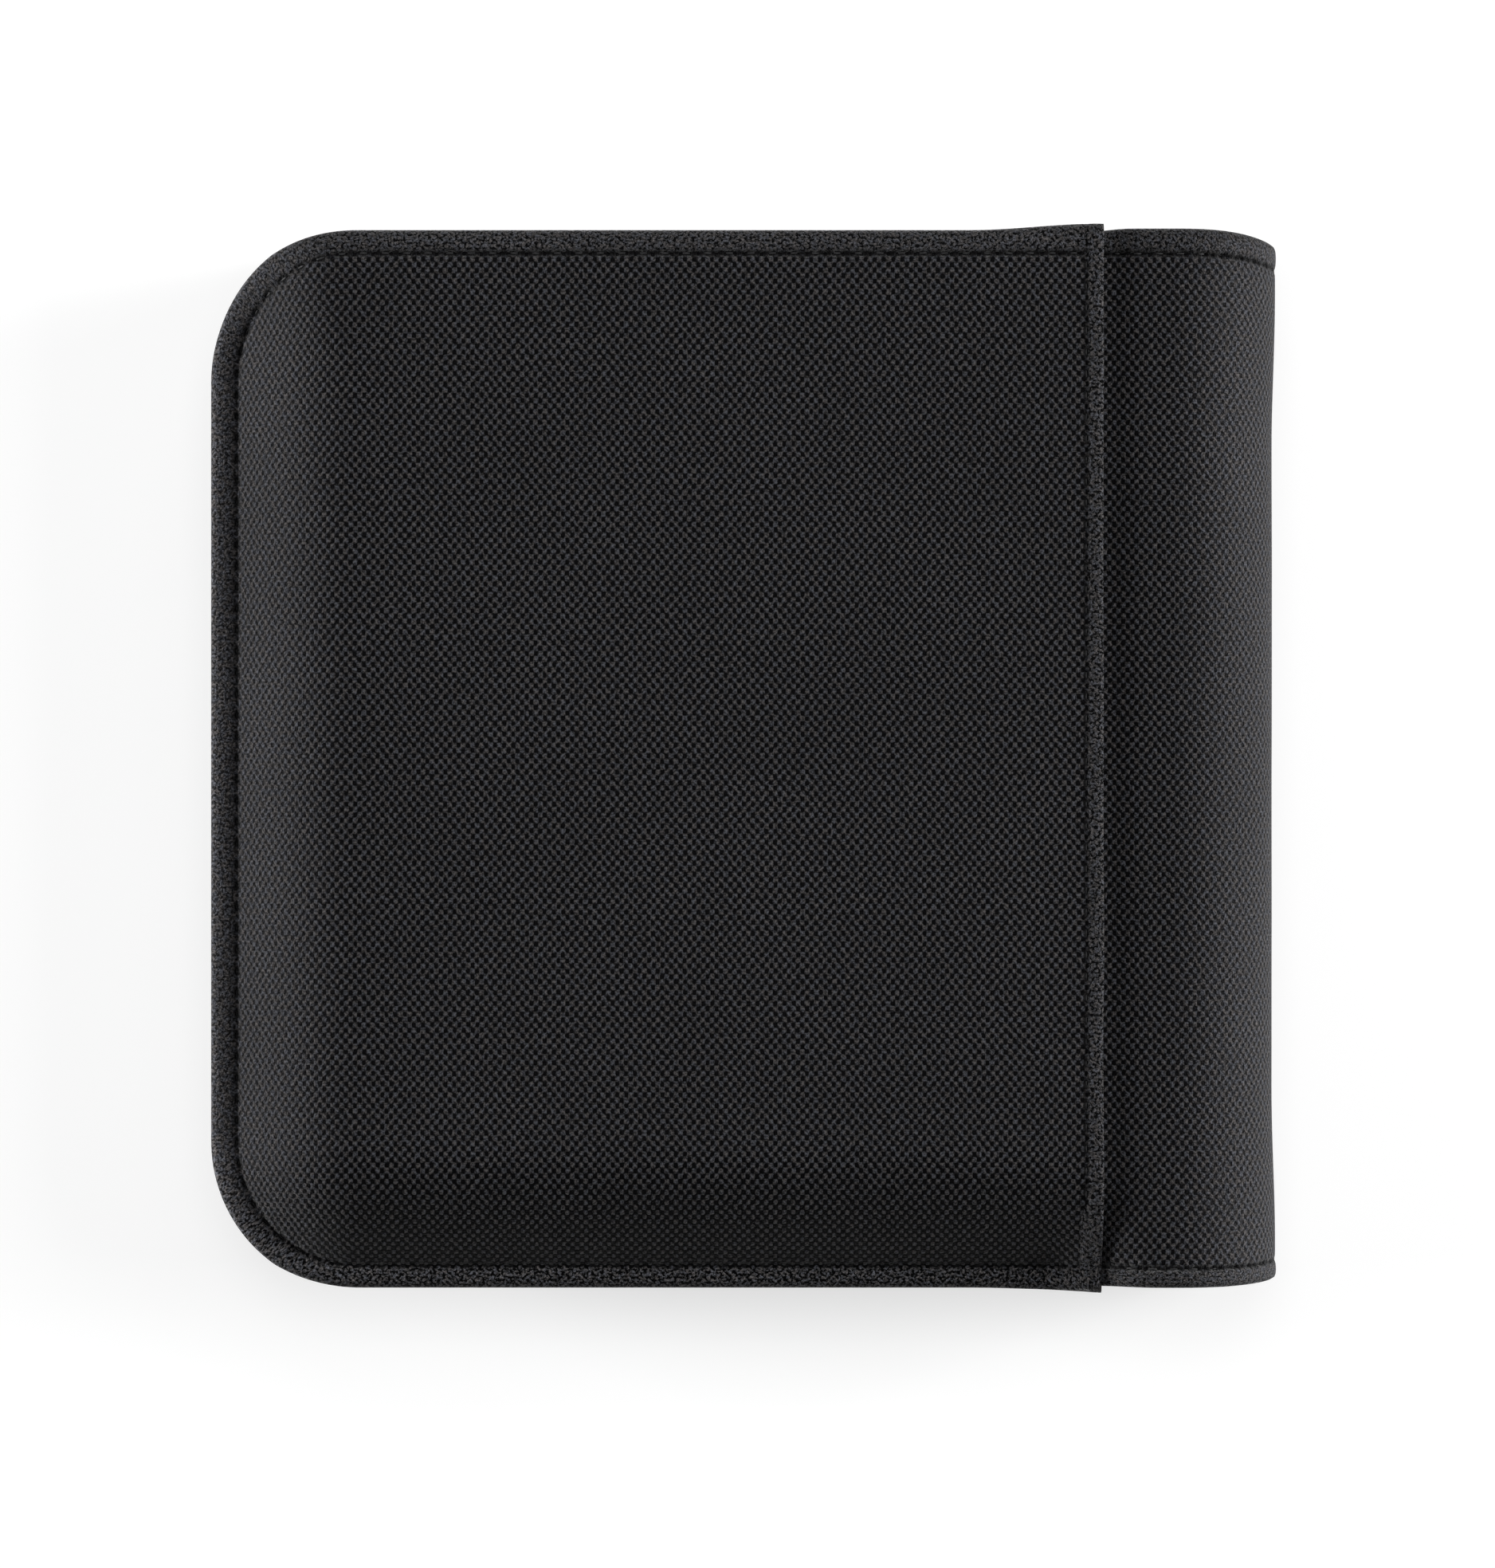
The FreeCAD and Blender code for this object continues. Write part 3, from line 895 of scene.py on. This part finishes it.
def spindle(bm, place, along, up, long=STITCH_LONG, wide=THREAD):
    """One stitch: a sphere drawn out along the seam."""
    along = along.normalized()
    side = along.cross(up).normalized()
    turn = Matrix((along, side, side.cross(along))).transposed().to_4x4()
    size = Matrix.Diagonal((long / 2, wide, wide * 0.8, 1))
    bmesh.ops.create_uvsphere(bm, u_segments=6, v_segments=5, radius=1,
                              matrix=Matrix.Translation(place) @ turn @ size)


def rim_place(run, inset=INSET):
    """A point beside the cover's seam, this far from the edge, and the seam's direction there."""
    arc = CORNER - INSET
    turn, side, reach = arc * math.pi / 2, 2 * (TOP - CORNER), CORNER - inset
    low, high = BOTTOM + CORNER, TOP - CORNER
    if run < 0:
        return Vector((LEFT + CORNER - run, BOTTOM + inset)), Vector((-1, 0))
    if run < turn:
        angle = run / arc
        way = Vector((-math.sin(angle), -math.cos(angle)))
        return Vector((LEFT + CORNER, low)) + reach * way, Vector((-math.cos(angle), math.sin(angle)))
    if run < turn + side:
        return Vector((LEFT + inset, low + run - turn)), Vector((0, 1))
    if run < 2 * turn + side:
        angle = (run - turn - side) / arc
        way = Vector((-math.cos(angle), math.sin(angle)))
        return Vector((LEFT + CORNER, high)) + reach * way, Vector((math.sin(angle), math.cos(angle)))
    return Vector((LEFT + CORNER + run - 2 * turn - side, TOP - inset)), Vector((1, 0))


SIDE_END = (CORNER - INSET) * math.pi / 2 + 2 * (TOP - CORNER)
TOP_START = SIDE_END + (CORNER - INSET) * math.pi / 2


def run_at(x, top):
    """The seam's run at this x on the top or bottom edge."""
    return TOP_START + x - LEFT - CORNER if top else LEFT + CORNER - x


def stitch_runs(first, last):
    """Where the needle went through, between two places along a seam."""
    return [step * STITCH for step in range(math.ceil(first / STITCH), math.ceil(last / STITCH))]


def sew_rim(name, first, last, side, height, goals, nodes=(), sink=SUNK):
    """A row of stitches along a cover's edge, between two runs."""
    bm = bmesh.new()
    runs = stitch_runs(first, last)
    for run in runs:
        spot, _ = rim_place(run)
        ahead, _ = rim_place(run + 0.4)
        y, ahead_y = (drawn_y(p.x, p.y, goals) for p in (spot, ahead))
        here = Vector((spot.x, y, height(spot.x, spot.y) - sink))
        there = Vector((ahead.x, ahead_y, height(ahead.x, ahead.y) - sink))
        for point in (here, there):
            point.z = RADIUS + side * point.z
        spindle(bm, here, there - here, Vector((0, 0, side)))
    finish_piece(bm, name, THREAD_BLACK, "front_cover" if side > 0 else "back_cover", nodes)
    return len(runs)


def hem_height(rim, crown):
    """The cloth's height at the bottom of the seam's groove."""
    def height(x, y):
        return fall(x, y, rim, crown) - GROOVE
    return height


# %% The thread's own finish
def make_thread():
    """Black bonded thread: two plies that turn round each other, a little glossy."""
    material, shader, start = new_material("sewing thread", 0.0, 0.35)
    spot = start.make("ShaderNodeTexCoord", (), (), 3)
    twist = spot.make("ShaderNodeTexWave", {"bands_direction": "DIAGONAL"},
                      {"Vector": spot, "Scale": 900.0, "Distortion": 1.5, "Detail": 1.0})
    worn = spot.speckle(700.0, 2.0)
    colour = (twist * 0.6 + worn * 0.4).mixed(rgb(0.004, 0.004, 0.0045), rgb(0.016, 0.016, 0.017))
    bump = start.make("ShaderNodeBump", (), {"Height": twist, "Distance": 0.03 * MM})
    return finished(material, shader, colour, 0.45 + worn * 0.25, bump)


THREAD_BLACK = make_thread()

# %% Seams of the covers, the pocket and the fold
skin = hem_height(RIM, RADIUS)


def bare_skin(x, y):
    return skin(x, y) - valley(x) * ease((skin(x, y) - RIM) / 4.0)


panel = hem_height(POCKET_RIM, POCKET_CROWN)
MOUTH_RUN_LOW, MOUTH_RUN_HIGH = run_at(MOUTH_X, False), run_at(MOUTH_X, True)
FOLD_RUN_LOW, FOLD_RUN_HIGH = run_at(FOLD_X, False), run_at(FOLD_X, True)
BACK_EDGE, BACK_MOUTH = ["back_edge_stitching"], ["back_mouth_stitching"]
FRONT_EDGE, FRONT_MOUTH = ["front_edge_stitching"], ["front_mouth_stitching"]
sewn = [
    sew_rim("back_edge_stitches", MOUTH_RUN_LOW, SIDE_END, -1, skin, skin_goals, BACK_EDGE),
    sew_rim("back_top_stitches", SIDE_END, FOLD_RUN_HIGH, -1, skin, skin_goals, BACK_MOUTH),
    sew_rim("back_foot_stitches", FOLD_RUN_LOW, MOUTH_RUN_LOW, -1, skin, skin_goals, BACK_MOUTH),
    sew_rim("front_edge_stitches", MOUTH_RUN_LOW + 2, SIDE_END, 1, panel, pocket_goals, FRONT_EDGE),
    sew_rim("front_top_stitches", SIDE_END, MOUTH_RUN_HIGH - 1, 1, panel, pocket_goals, FRONT_MOUTH),
    sew_rim("front_bare_stitches", MOUTH_RUN_HIGH, FOLD_RUN_HIGH, 1, bare_skin, skin_goals, FRONT_MOUTH),
    sew_rim("front_foot_stitches", FOLD_RUN_LOW, MOUTH_RUN_LOW, 1, bare_skin, skin_goals, FRONT_MOUTH),
]
print("stitches on the covers:", sum(sewn))


def sew_fold(part):
    """The stitches at both ends of one quarter of the fold."""
    bm = bmesh.new()
    for top in (True, False):
        sign = 1 if top else -1
        y = sign * (TOP - INSET)
        low = FOLD_X + RADIUS * (math.pi - QUARTER * (part + 1))
        high = FOLD_X + RADIUS * (math.pi - QUARTER * part)
        offset = run_at(FOLD_X, top) * sign - FOLD_X
        for run in stitch_runs(low + offset, high + offset):
            angle = math.pi - (run - offset - FOLD_X) / RADIUS
            here = fold_place(angle, y, RADIUS - GROOVE - SUNK)
            there = fold_place(angle - 0.03, y, RADIUS - GROOVE - SUNK)
            spindle(bm, here, there - here, Vector((math.sin(angle), 0, -math.cos(angle))))
    nodes = both_sides(part, "spine_stitching", BACK_MOUTH + FRONT_MOUTH)
    piece = finish_piece(bm, f"fold_stitches_{part + 1}", THREAD_BLACK, None, nodes)
    return blend_quarter(piece, QUARTER * part, QUARTER * (part + 1))


def sew_line(name, x, low, high, height, side, body, nodes):
    """A straight row of stitches up a panel."""
    bm = bmesh.new()
    for y in stitch_runs(low, high):
        here = Vector((x, drawn_y(x, y, pocket_goals), RADIUS + side * height(x, y)))
        spindle(bm, here, Vector((0, 1, 0)), Vector((0, 0, 1)))
    return finish_piece(bm, name, THREAD_BLACK, body, nodes)


def mouth_height(x, y):
    return fall(x, y, POCKET_RIM, POCKET_CROWN) + mouth_lift(x, y) + billow(x, y, POCKET_BILLOW) - SUNK


fold_rows = [sew_fold(part) for part in range(QUARTERS)]
MOUTH_SEWN = 46.5        # mm from the middle that the mouth's stitches reach
sew_line("pocket_mouth_stitches", MOUTH_X - HEM_WIDTH, -MOUTH_SEWN, MOUTH_SEWN, mouth_height, 1,
         "front_cover", ["front_pocket_stitching"])
print("stitched quarters of the fold:", len(fold_rows))

# %% [markdown]
# ## Inside: linings and foam
#
# The note compartment is lined with thin, smooth taffeta, and a layer of foam between lining and
# shell keeps the covers from showing what is inside. Only a little of it shows, at the mouth, but
# when the wallet opens the lining is seen over the whole fold.

# %% Taffeta, foam and binding
def make_taffeta():
    """Thin lining: very fine weave with paler, rougher, raised streaks along one yarn."""
    material, shader, start = new_material("lining taffeta", 0.15, 0.4)
    cloth = start.make("ShaderNodeAttribute", {"attribute_name": "cloth"}, (), 1)
    board = plain_weave(cloth, 0.14, 0.17, 0.3)
    streak = cloth.scaled((2.2, 0.25, 1.0)).speckle(1.0, 3.0)
    cloud = cloth.speckle(0.09, 2.0)
    shade = board * 0.2 + streak * 0.5 + cloud * 0.4
    colour = shade.mixed(rgb(0.012, 0.012, 0.014), rgb(0.036, 0.037, 0.042))
    height = board * 0.6 + streak + cloud * 6.0
    bump = start.make("ShaderNodeBump", (), {"Height": height, "Distance": 0.03 * MM})
    return finished(material, shader, colour, 0.42 + streak * 0.2, bump)


def make_foam():
    """Charcoal foam with open cells."""
    material, shader, start = new_material("charcoal foam", 0.0, 0.2)
    spot = start.make("ShaderNodeTexCoord", (), (), 3)
    cells = start.make("ShaderNodeTexVoronoi", (), {"Vector": spot, "Scale": 2600.0})
    colour = cells.mixed(rgb(0.01, 0.01, 0.01), rgb(0.05, 0.05, 0.052))
    bump = start.make("ShaderNodeBump", (), {"Height": cells, "Distance": 0.15 * MM})
    return finished(material, shader, colour, 0.8 + cells * 0.15, bump)


def make_binding():
    """Grosgrain tape: fine ribs across its length."""
    material, shader, start = new_material("grosgrain binding", 0.1, 0.3)
    cloth = start.make("ShaderNodeAttribute", {"attribute_name": "cloth"}, (), 1)
    across, along, _ = cloth.split()
    rib = (along * (TAU / 0.55)).math("COSINE", along * (TAU / 0.55))
    yarn = (across * (TAU / 0.22)).math("COSINE", across * (TAU / 0.22))
    fibre = cloth.speckle(5.0, 2.0)
    shade = 0.45 + rib * 0.22 + yarn * 0.08 + fibre * 0.35
    colour = shade.mixed(rgb(0.006, 0.006, 0.007), rgb(0.04, 0.04, 0.043))
    bump = start.make("ShaderNodeBump", (), {"Height": rib + yarn * 0.25 + fibre * 0.3,
                                             "Distance": 0.08 * MM})
    return finished(material, shader, colour, 0.55 + fibre * 0.25, bump)


TAFFETA = make_taffeta()
FOAM = make_foam()
BINDING = make_binding()
# the net's colour, then the pits' colour, which is painted shade
PANEL_CLOTH = nylon("panel nylon", (0.034, 0.034, 0.0365), (0.004, 0.004, 0.0045),
                    pitch=(0.3, 0.34), depth=0.07)

# %% The lining and the foam of each cover
LINING_THICK = 0.25
LINING_DOWN = 1.12       # mm from the shell's face to the lining's, round the fold
LINING_ROOM = 0.6        # and this much more over the foam
LINING_RIM = 2.3
LINING_SEAM = 3.2
LINING_INSET = 2.6       # mm that it stops short of the opening edge
LINING_SHORT = 0.6       # and of the top and bottom
INSIDE_STEP = 1.3        # mm between the lines of its grid
FOAM_THICK = 0.34
FOAM_DOWN = 0.5          # mm from the shell's face to the foam's
FOAM_SHORT = 4.0         # mm that it stops short of its CAD solid, by the fold
FOAM_STEP = 1.6


def make_lining(side, body, node):
    start = LEFT + LINING_INSET
    bm = grid_cloth(stops(start, FOLD_X, 0, 0, INSIDE_STEP) + [FOLD_X + OVERLAP],
                    stops(BOTTOM + LINING_SHORT, TOP - LINING_SHORT, 2.4, 2.4, INSIDE_STEP))
    cloth, _, _ = records(bm)
    crown = RADIUS - LINING_DOWN
    for vert in bm.verts:
        x, y = fit_row(vert.co.x, vert.co.y, start, FOLD_X, LINING_INSET)
        if y < 0:
            y += 2.0 * ease((-y - 36) / 10) * (1 - ease((x - LEVEL_FROM) / (LEVEL_BY - LEVEL_FROM)))
        vert[cloth] = (x, y * 1.02, 0)
        edge = LINING_RIM + (crown - LINING_RIM) * loose(x, y)
        height = crown - (crown - edge) * (1 - up_slope(x, y, LINING_SEAM)) ** 2
        height -= LINING_ROOM * ease((FOLD_X - x) / 5.0)
        vert.co = (x, drawn_y(x, y, skin_goals), height + billow(x, y))
    tuck_under(bm, crown)
    set_on(bm, side)
    piece = finish_sheet(bm, node + "_cloth", TAFFETA, (0, 0, -side), body, [node])
    return thicken(piece, LINING_THICK)


def fit_row(x, y, low, high, inset):
    """Squeeze a row of the grid to start at the cover's outline, rounded corners included."""
    past = abs(y) - (TOP - CORNER)
    reach = CORNER - inset
    start = low
    if past > 0:
        start = LEFT + CORNER - math.sqrt(max(reach ** 2 - past ** 2, 0.0))
    return start + (x - low) * (high - start) / (high - low), y


def make_foam_pad(side, body, node):
    """A thin slab that follows the shell, rounded at its edges."""
    low, high = corners(node)
    end = high.x - FOAM_SHORT
    bm = grid_cloth(stops(low.x, end, 0, 0, FOAM_STEP), stops(low.y, high.y, 0, 0, FOAM_STEP))
    for vert in bm.verts:
        x, y = fit_row(vert.co.x, vert.co.y, low.x, end, CORNER - 6)
        pressed = valley(x) * (side > 0)
        vert.co = (x, y, fall(x, y, 2.4, RADIUS - FOAM_DOWN) - 0.08 - pressed + billow(x, y))
    bmesh.ops.solidify(bm, geom=bm.faces[:], thickness=FOAM_THICK)
    sharp = [v for v in bm.verts if any(e.calc_face_angle(0) > 1 for e in v.link_edges)]
    bmesh.ops.smooth_vert(bm, verts=sharp, factor=0.3, use_axis_x=True, use_axis_y=True, use_axis_z=True)
    set_on(bm, side)
    bmesh.ops.remove_doubles(bm, verts=bm.verts, dist=1e-4)
    piece = finish_piece(bm, node + "_pad", FOAM, body, [node])
    return piece


linings = {body: make_lining(side, body, name + "_lining") for side, body, name in COVERS}
pads = [make_foam_pad(side, body, name + "_foam") for side, body, name in COVERS]
fold_linings = [make_fold(part, "lining", TAFFETA, RADIUS - LINING_DOWN, -LINING_THICK, False)
                for part in range(QUARTERS)]
print("lining pieces:", len(linings) + len(fold_linings), "and foam pads:", len(pads))

# %% [markdown]
# ## Inside: wall, card slots and binding
#
# Each cover carries an inner wall, which closes the note compartment, and three card slots in
# steps. They are flat panels in the same nylon in a finer weave. Each one's mouth is turned
# under and stitched. Their side by the fold is bound with a ribbed tape, and the other two sides
# go into the seam of the rim.

# %% Inner panels
PANEL_THICK = 0.21
FINE_HEM = 1.2           # mm from a panel's mouth to its stitch line
MOUTH_DROP = 0.3         # mm that the middle of the mouth sags
PANEL_STEP = 1.4         # mm between the lines of its grid
FINE_THREAD = 0.11


def make_panel(side, body, node, mouth_drop):
    """One inner panel, seen from the middle plane."""
    low, high = corners(node)
    near = min(abs(low.z - RADIUS), abs(high.z - RADIUS))
    bm = grid_cloth(stops(low.x, high.x, coarse=PANEL_STEP),
                    stops(low.y, high.y, fine_high=2.4, coarse=PANEL_STEP))
    cloth, seam, _ = records(bm)
    for vert in bm.verts:
        x, y = fit_row(vert.co.x, vert.co.y, low.x, high.x, low.x - LEFT)
        inset = high.y - y
        roll = 0.16 * (1 - ease(inset / 0.3))
        groove = 0.06 * math.exp(-((inset - FINE_HEM) / 0.25) ** 2)
        calm = ease((high.x - x) / 8) * ease((x - low.x) / 8)
        sag = 0.04 * calm * noise.noise(Vector((x / 20, y / 16, near * 9)))
        dip = mouth_drop * calm * (1 - ease(inset / 20.0))
        vert[cloth] = (x * 1.003, y, 0)
        vert[seam] = (inset - FINE_HEM, x, 0)
        vert.co = (x, y - 0.5 * dip, near + 0.02 + roll + groove + abs(sag) + 0.02 * dip)
    edges = [edge for edge in bm.edges if all(abs(v[seam].x + FINE_HEM) < 1e-4 for v in edge.verts)]
    for shift_y, shift_z in ((0.02, 0.1), (-0.08, 0.04)):
        fresh, edges = extrude_on(bm, edges)
        for vert in fresh:
            vert.co += Vector((0, shift_y, shift_z))
            vert[cloth] = vert[cloth] + Vector((0, 0.12, 0))
    set_on(bm, side)
    piece = finish_sheet(bm, node + "_panel", PANEL_CLOTH, (0, 0, -side), body, [node])
    thicken(piece, PANEL_THICK)
    bm = bmesh.new()
    count = int((high.x - low.x - 6) / STITCH)
    for step in range(count):
        x = low.x + 4 + (step + 0.5) * STITCH
        if edge_inset(x, high.y - FINE_HEM) > 2.4:
            here = Vector((x, high.y - FINE_HEM, RADIUS + side * (near + 0.04)))
            spindle(bm, here, Vector((1, 0, 0)), Vector((0, 0, 1)), STITCH_LONG, FINE_THREAD)
    sewn = finish_piece(bm, node + "_stitches", THREAD_BLACK, body, ())
    return piece, sewn


inner = []
for side, body, name in COVERS:
    for panel_name in ("inner_wall", "card_slot_top", "card_slot_mid", "card_slot_low"):
        inner.append(make_panel(side, body, f"{name}_{panel_name}", MOUTH_DROP))
print("inner panels:", len(inner))


def make_tape(side, body, node):
    """The ribbed tape, folded over the panels' edges by the fold."""
    low, high = corners(node)
    outline = [(low.x, 0.1), (high.x - 0.35, 0.1), (high.x - 0.1, 0.22), (high.x, 0.5),
               (high.x, 1.7), (high.x - 0.1, 1.98), (high.x - 0.35, 2.1), (low.x, 2.1)]
    lengths = [0.0]
    for first, second in zip(outline, outline[1:]):
        lengths.append(lengths[-1] + math.dist(first, second))
    bm = grid_cloth(lengths, stops(low.y, high.y, 0, 0, 1.0))
    cloth, _, _ = records(bm)
    for vert in bm.verts:
        vert[cloth] = vert.co.copy()
        x, z = outline[min(range(len(lengths)), key=lambda i: abs(lengths[i] - vert.co.x))]
        wave = 0.03 * noise.noise(Vector((vert.co.y / 6, z, side)))
        vert.co = (x + wave * (x > low.x + 0.1) - 0.05, vert.co.y, z)
    set_on(bm, side)
    piece = finish_piece(bm, node + "_cloth", BINDING, body, [node])
    face_outwards(piece, Vector(((low.x - 2) * MM, 0, (RADIUS + side * 1.1) * MM)))
    thicken(piece, 0.22)
    declare_strip(lengths[-1], high.y - low.y)


def declare_strip(wide, long):
    """Work out a folded strip's length and area in metres; neither is kept."""
    long * MM
    wide * long * MM * MM


def face_outwards(piece, inside):
    """Turn a piece's faces away from a line through this point, along y."""
    total = 0.0
    for face in piece.data.polygons:
        away = face.center - inside
        total += face.normal.dot(Vector((away.x, 0, away.z)).normalized()) * face.area
    if total < 0:
        piece.data.flip_normals()


def make_allowance(side, body, node):
    """The seam's allowance inside the rim: the cloth's edges turned in and sewn flat."""
    outline = [(0.5, 2.0), (0.5, 0.35), (0.62, 0.16), (0.85, 0.1), (2.3, 0.1), (2.5, 0.16), (2.6, 0.35),
               (2.6, 2.0)]
    lengths = [0.0]
    for first, second in zip(outline, outline[1:]):
        lengths.append(lengths[-1] + math.dist(first, second))
    start, end = MOUTH_RUN_LOW + 0.2, TOP_START - 2.0
    bm = grid_cloth(stops(start, end, 0, 0, 1.2), lengths)
    cloth, seam, _ = records(bm)
    for vert in bm.verts:
        run = vert.co.x
        inset, z = outline[min(range(len(lengths)), key=lambda i: abs(lengths[i] - vert.co.y))]
        vert[cloth] = vert.co.copy()
        vert[seam] = ((inset - 1.7) if z < 0.2 else 3.0, run, 0)
        spot, _ = rim_place(run, inset)
        vert.co = (spot.x, drawn_y(spot.x, spot.y, skin_goals), z)
    set_on(bm, side)
    piece = finish_sheet(bm, node + "_cloth", SHELL_CLOTH, (0, 0, -side), body, [node])
    thicken(piece, 0.2)
    declare_strip(lengths[-1], end - start)


for side, body, name in COVERS:
    make_tape(side, body, name + "_inner_tape")
    make_allowance(side, body, name + "_seam_allowance")
    low, high = corners(name + "_tape_stitching")
    sew_line(name + "_tape_stitches", (low.x + high.x) / 2, low.y, high.y, lambda x, y: 0.1, side, body,
             [name + "_tape_stitching"])
    sew_rim(name + "_rim_stitches", MOUTH_RUN_LOW, SIDE_END + 10, side, lambda x, y: 0.12, skin_goals,
            sink=0.02)

# %% [markdown]
# ## What the sheets were cut from
#
# The shell's cover is cut larger than the cover by its turned edges and by what the slope takes
# up. The code below only works out the width of each quarter of the fold, and keeps none of it.

# %% The width of each quarter of the fold
INNER_SHARE = 0.9        # the lining's share of the shell's length round the fold
for part, (outer, lining) in enumerate(zip(fold_shells, fold_linings)):
    wide = RADIUS * QUARTER * MM
    inner = wide * INNER_SHARE

# %% [markdown]
# ## Floor and light
#
# The wallet lies on a white sweep that the light nearly burns out. Black cloth only shows its
# shape in the light that skims over it, so most of the light comes low from both sides. The
# front edge gets the least, and its shadow is the longest.

# %% The floor
FLOOR_GLOW = 0.655       # lifts the shadows, as the light bounced round a white room does


def make_floor():
    bm = bmesh.new()
    bmesh.ops.create_grid(bm, x_segments=1, y_segments=1, size=3.0)
    bmesh.ops.translate(bm, vec=(0, 0, -0.0002), verts=bm.verts)
    mesh = bpy.data.meshes.new("sweep")
    bm.to_mesh(mesh)
    bm.free()
    material, shader, _ = new_material("white sweep", 0.0, 0.1)
    shader.inputs["Base Color"].default_value = rgb(0.4, 0.4, 0.4)
    shader.inputs["Roughness"].default_value = 0.9
    shader.inputs["Emission Color"].default_value = rgb(1.0, 1.0, 1.0)
    shader.inputs["Emission Strength"].default_value = FLOOR_GLOW
    mesh.materials.append(material)
    floor = bpy.data.objects.new("sweep", mesh)
    bpy.context.scene.collection.objects.link(floor)


make_floor()


# %% The lights
def softbox(name, place, width, height, power, aim=(0, 0, 0.01)):
    """A rectangular light at place, in metres, that looks at the wallet."""
    data = bpy.data.lights.new(name, "AREA")
    data.shape = "RECTANGLE"
    data.size = width
    data.size_y = height
    data.energy = power
    light = bpy.data.objects.new(name, data)
    light.location = place
    light.rotation_euler = (Vector(place) - Vector(aim)).to_track_quat("Z", "Y").to_euler()
    bpy.context.scene.collection.objects.link(light)
    return light


softbox("left low box", (-0.95, 0.14, 0.16), 0.3, 0.25, 11.3)
softbox("left box", (-0.85, 0.1, 0.45), 0.5, 0.4, 2.0)
softbox("right low box", (0.95, 0.12, 0.18), 0.3, 0.25, 11.0)
softbox("right box", (0.85, 0.1, 0.5), 0.5, 0.4, 4.4)
softbox("far low box", (0.0, 0.95, 0.25), 0.9, 0.3, 0.6)
softbox("far box", (0.0, 0.85, 0.75), 0.9, 0.4, 1.8)
softbox("near box", (0.0, -0.8, 1.0), 0.9, 0.4, 0.3)
softbox("top box", (0.0, 0.3, 1.6), 0.8, 0.8, 7.0)
world = bpy.data.worlds.new("room")
world.use_nodes = True
world.node_tree.nodes["Background"].inputs["Color"].default_value = (1, 1, 1, 1)
world.node_tree.nodes["Background"].inputs["Strength"].default_value = 0.01
bpy.context.scene.world = world
bpy.context.scene.view_settings.view_transform = "Standard"
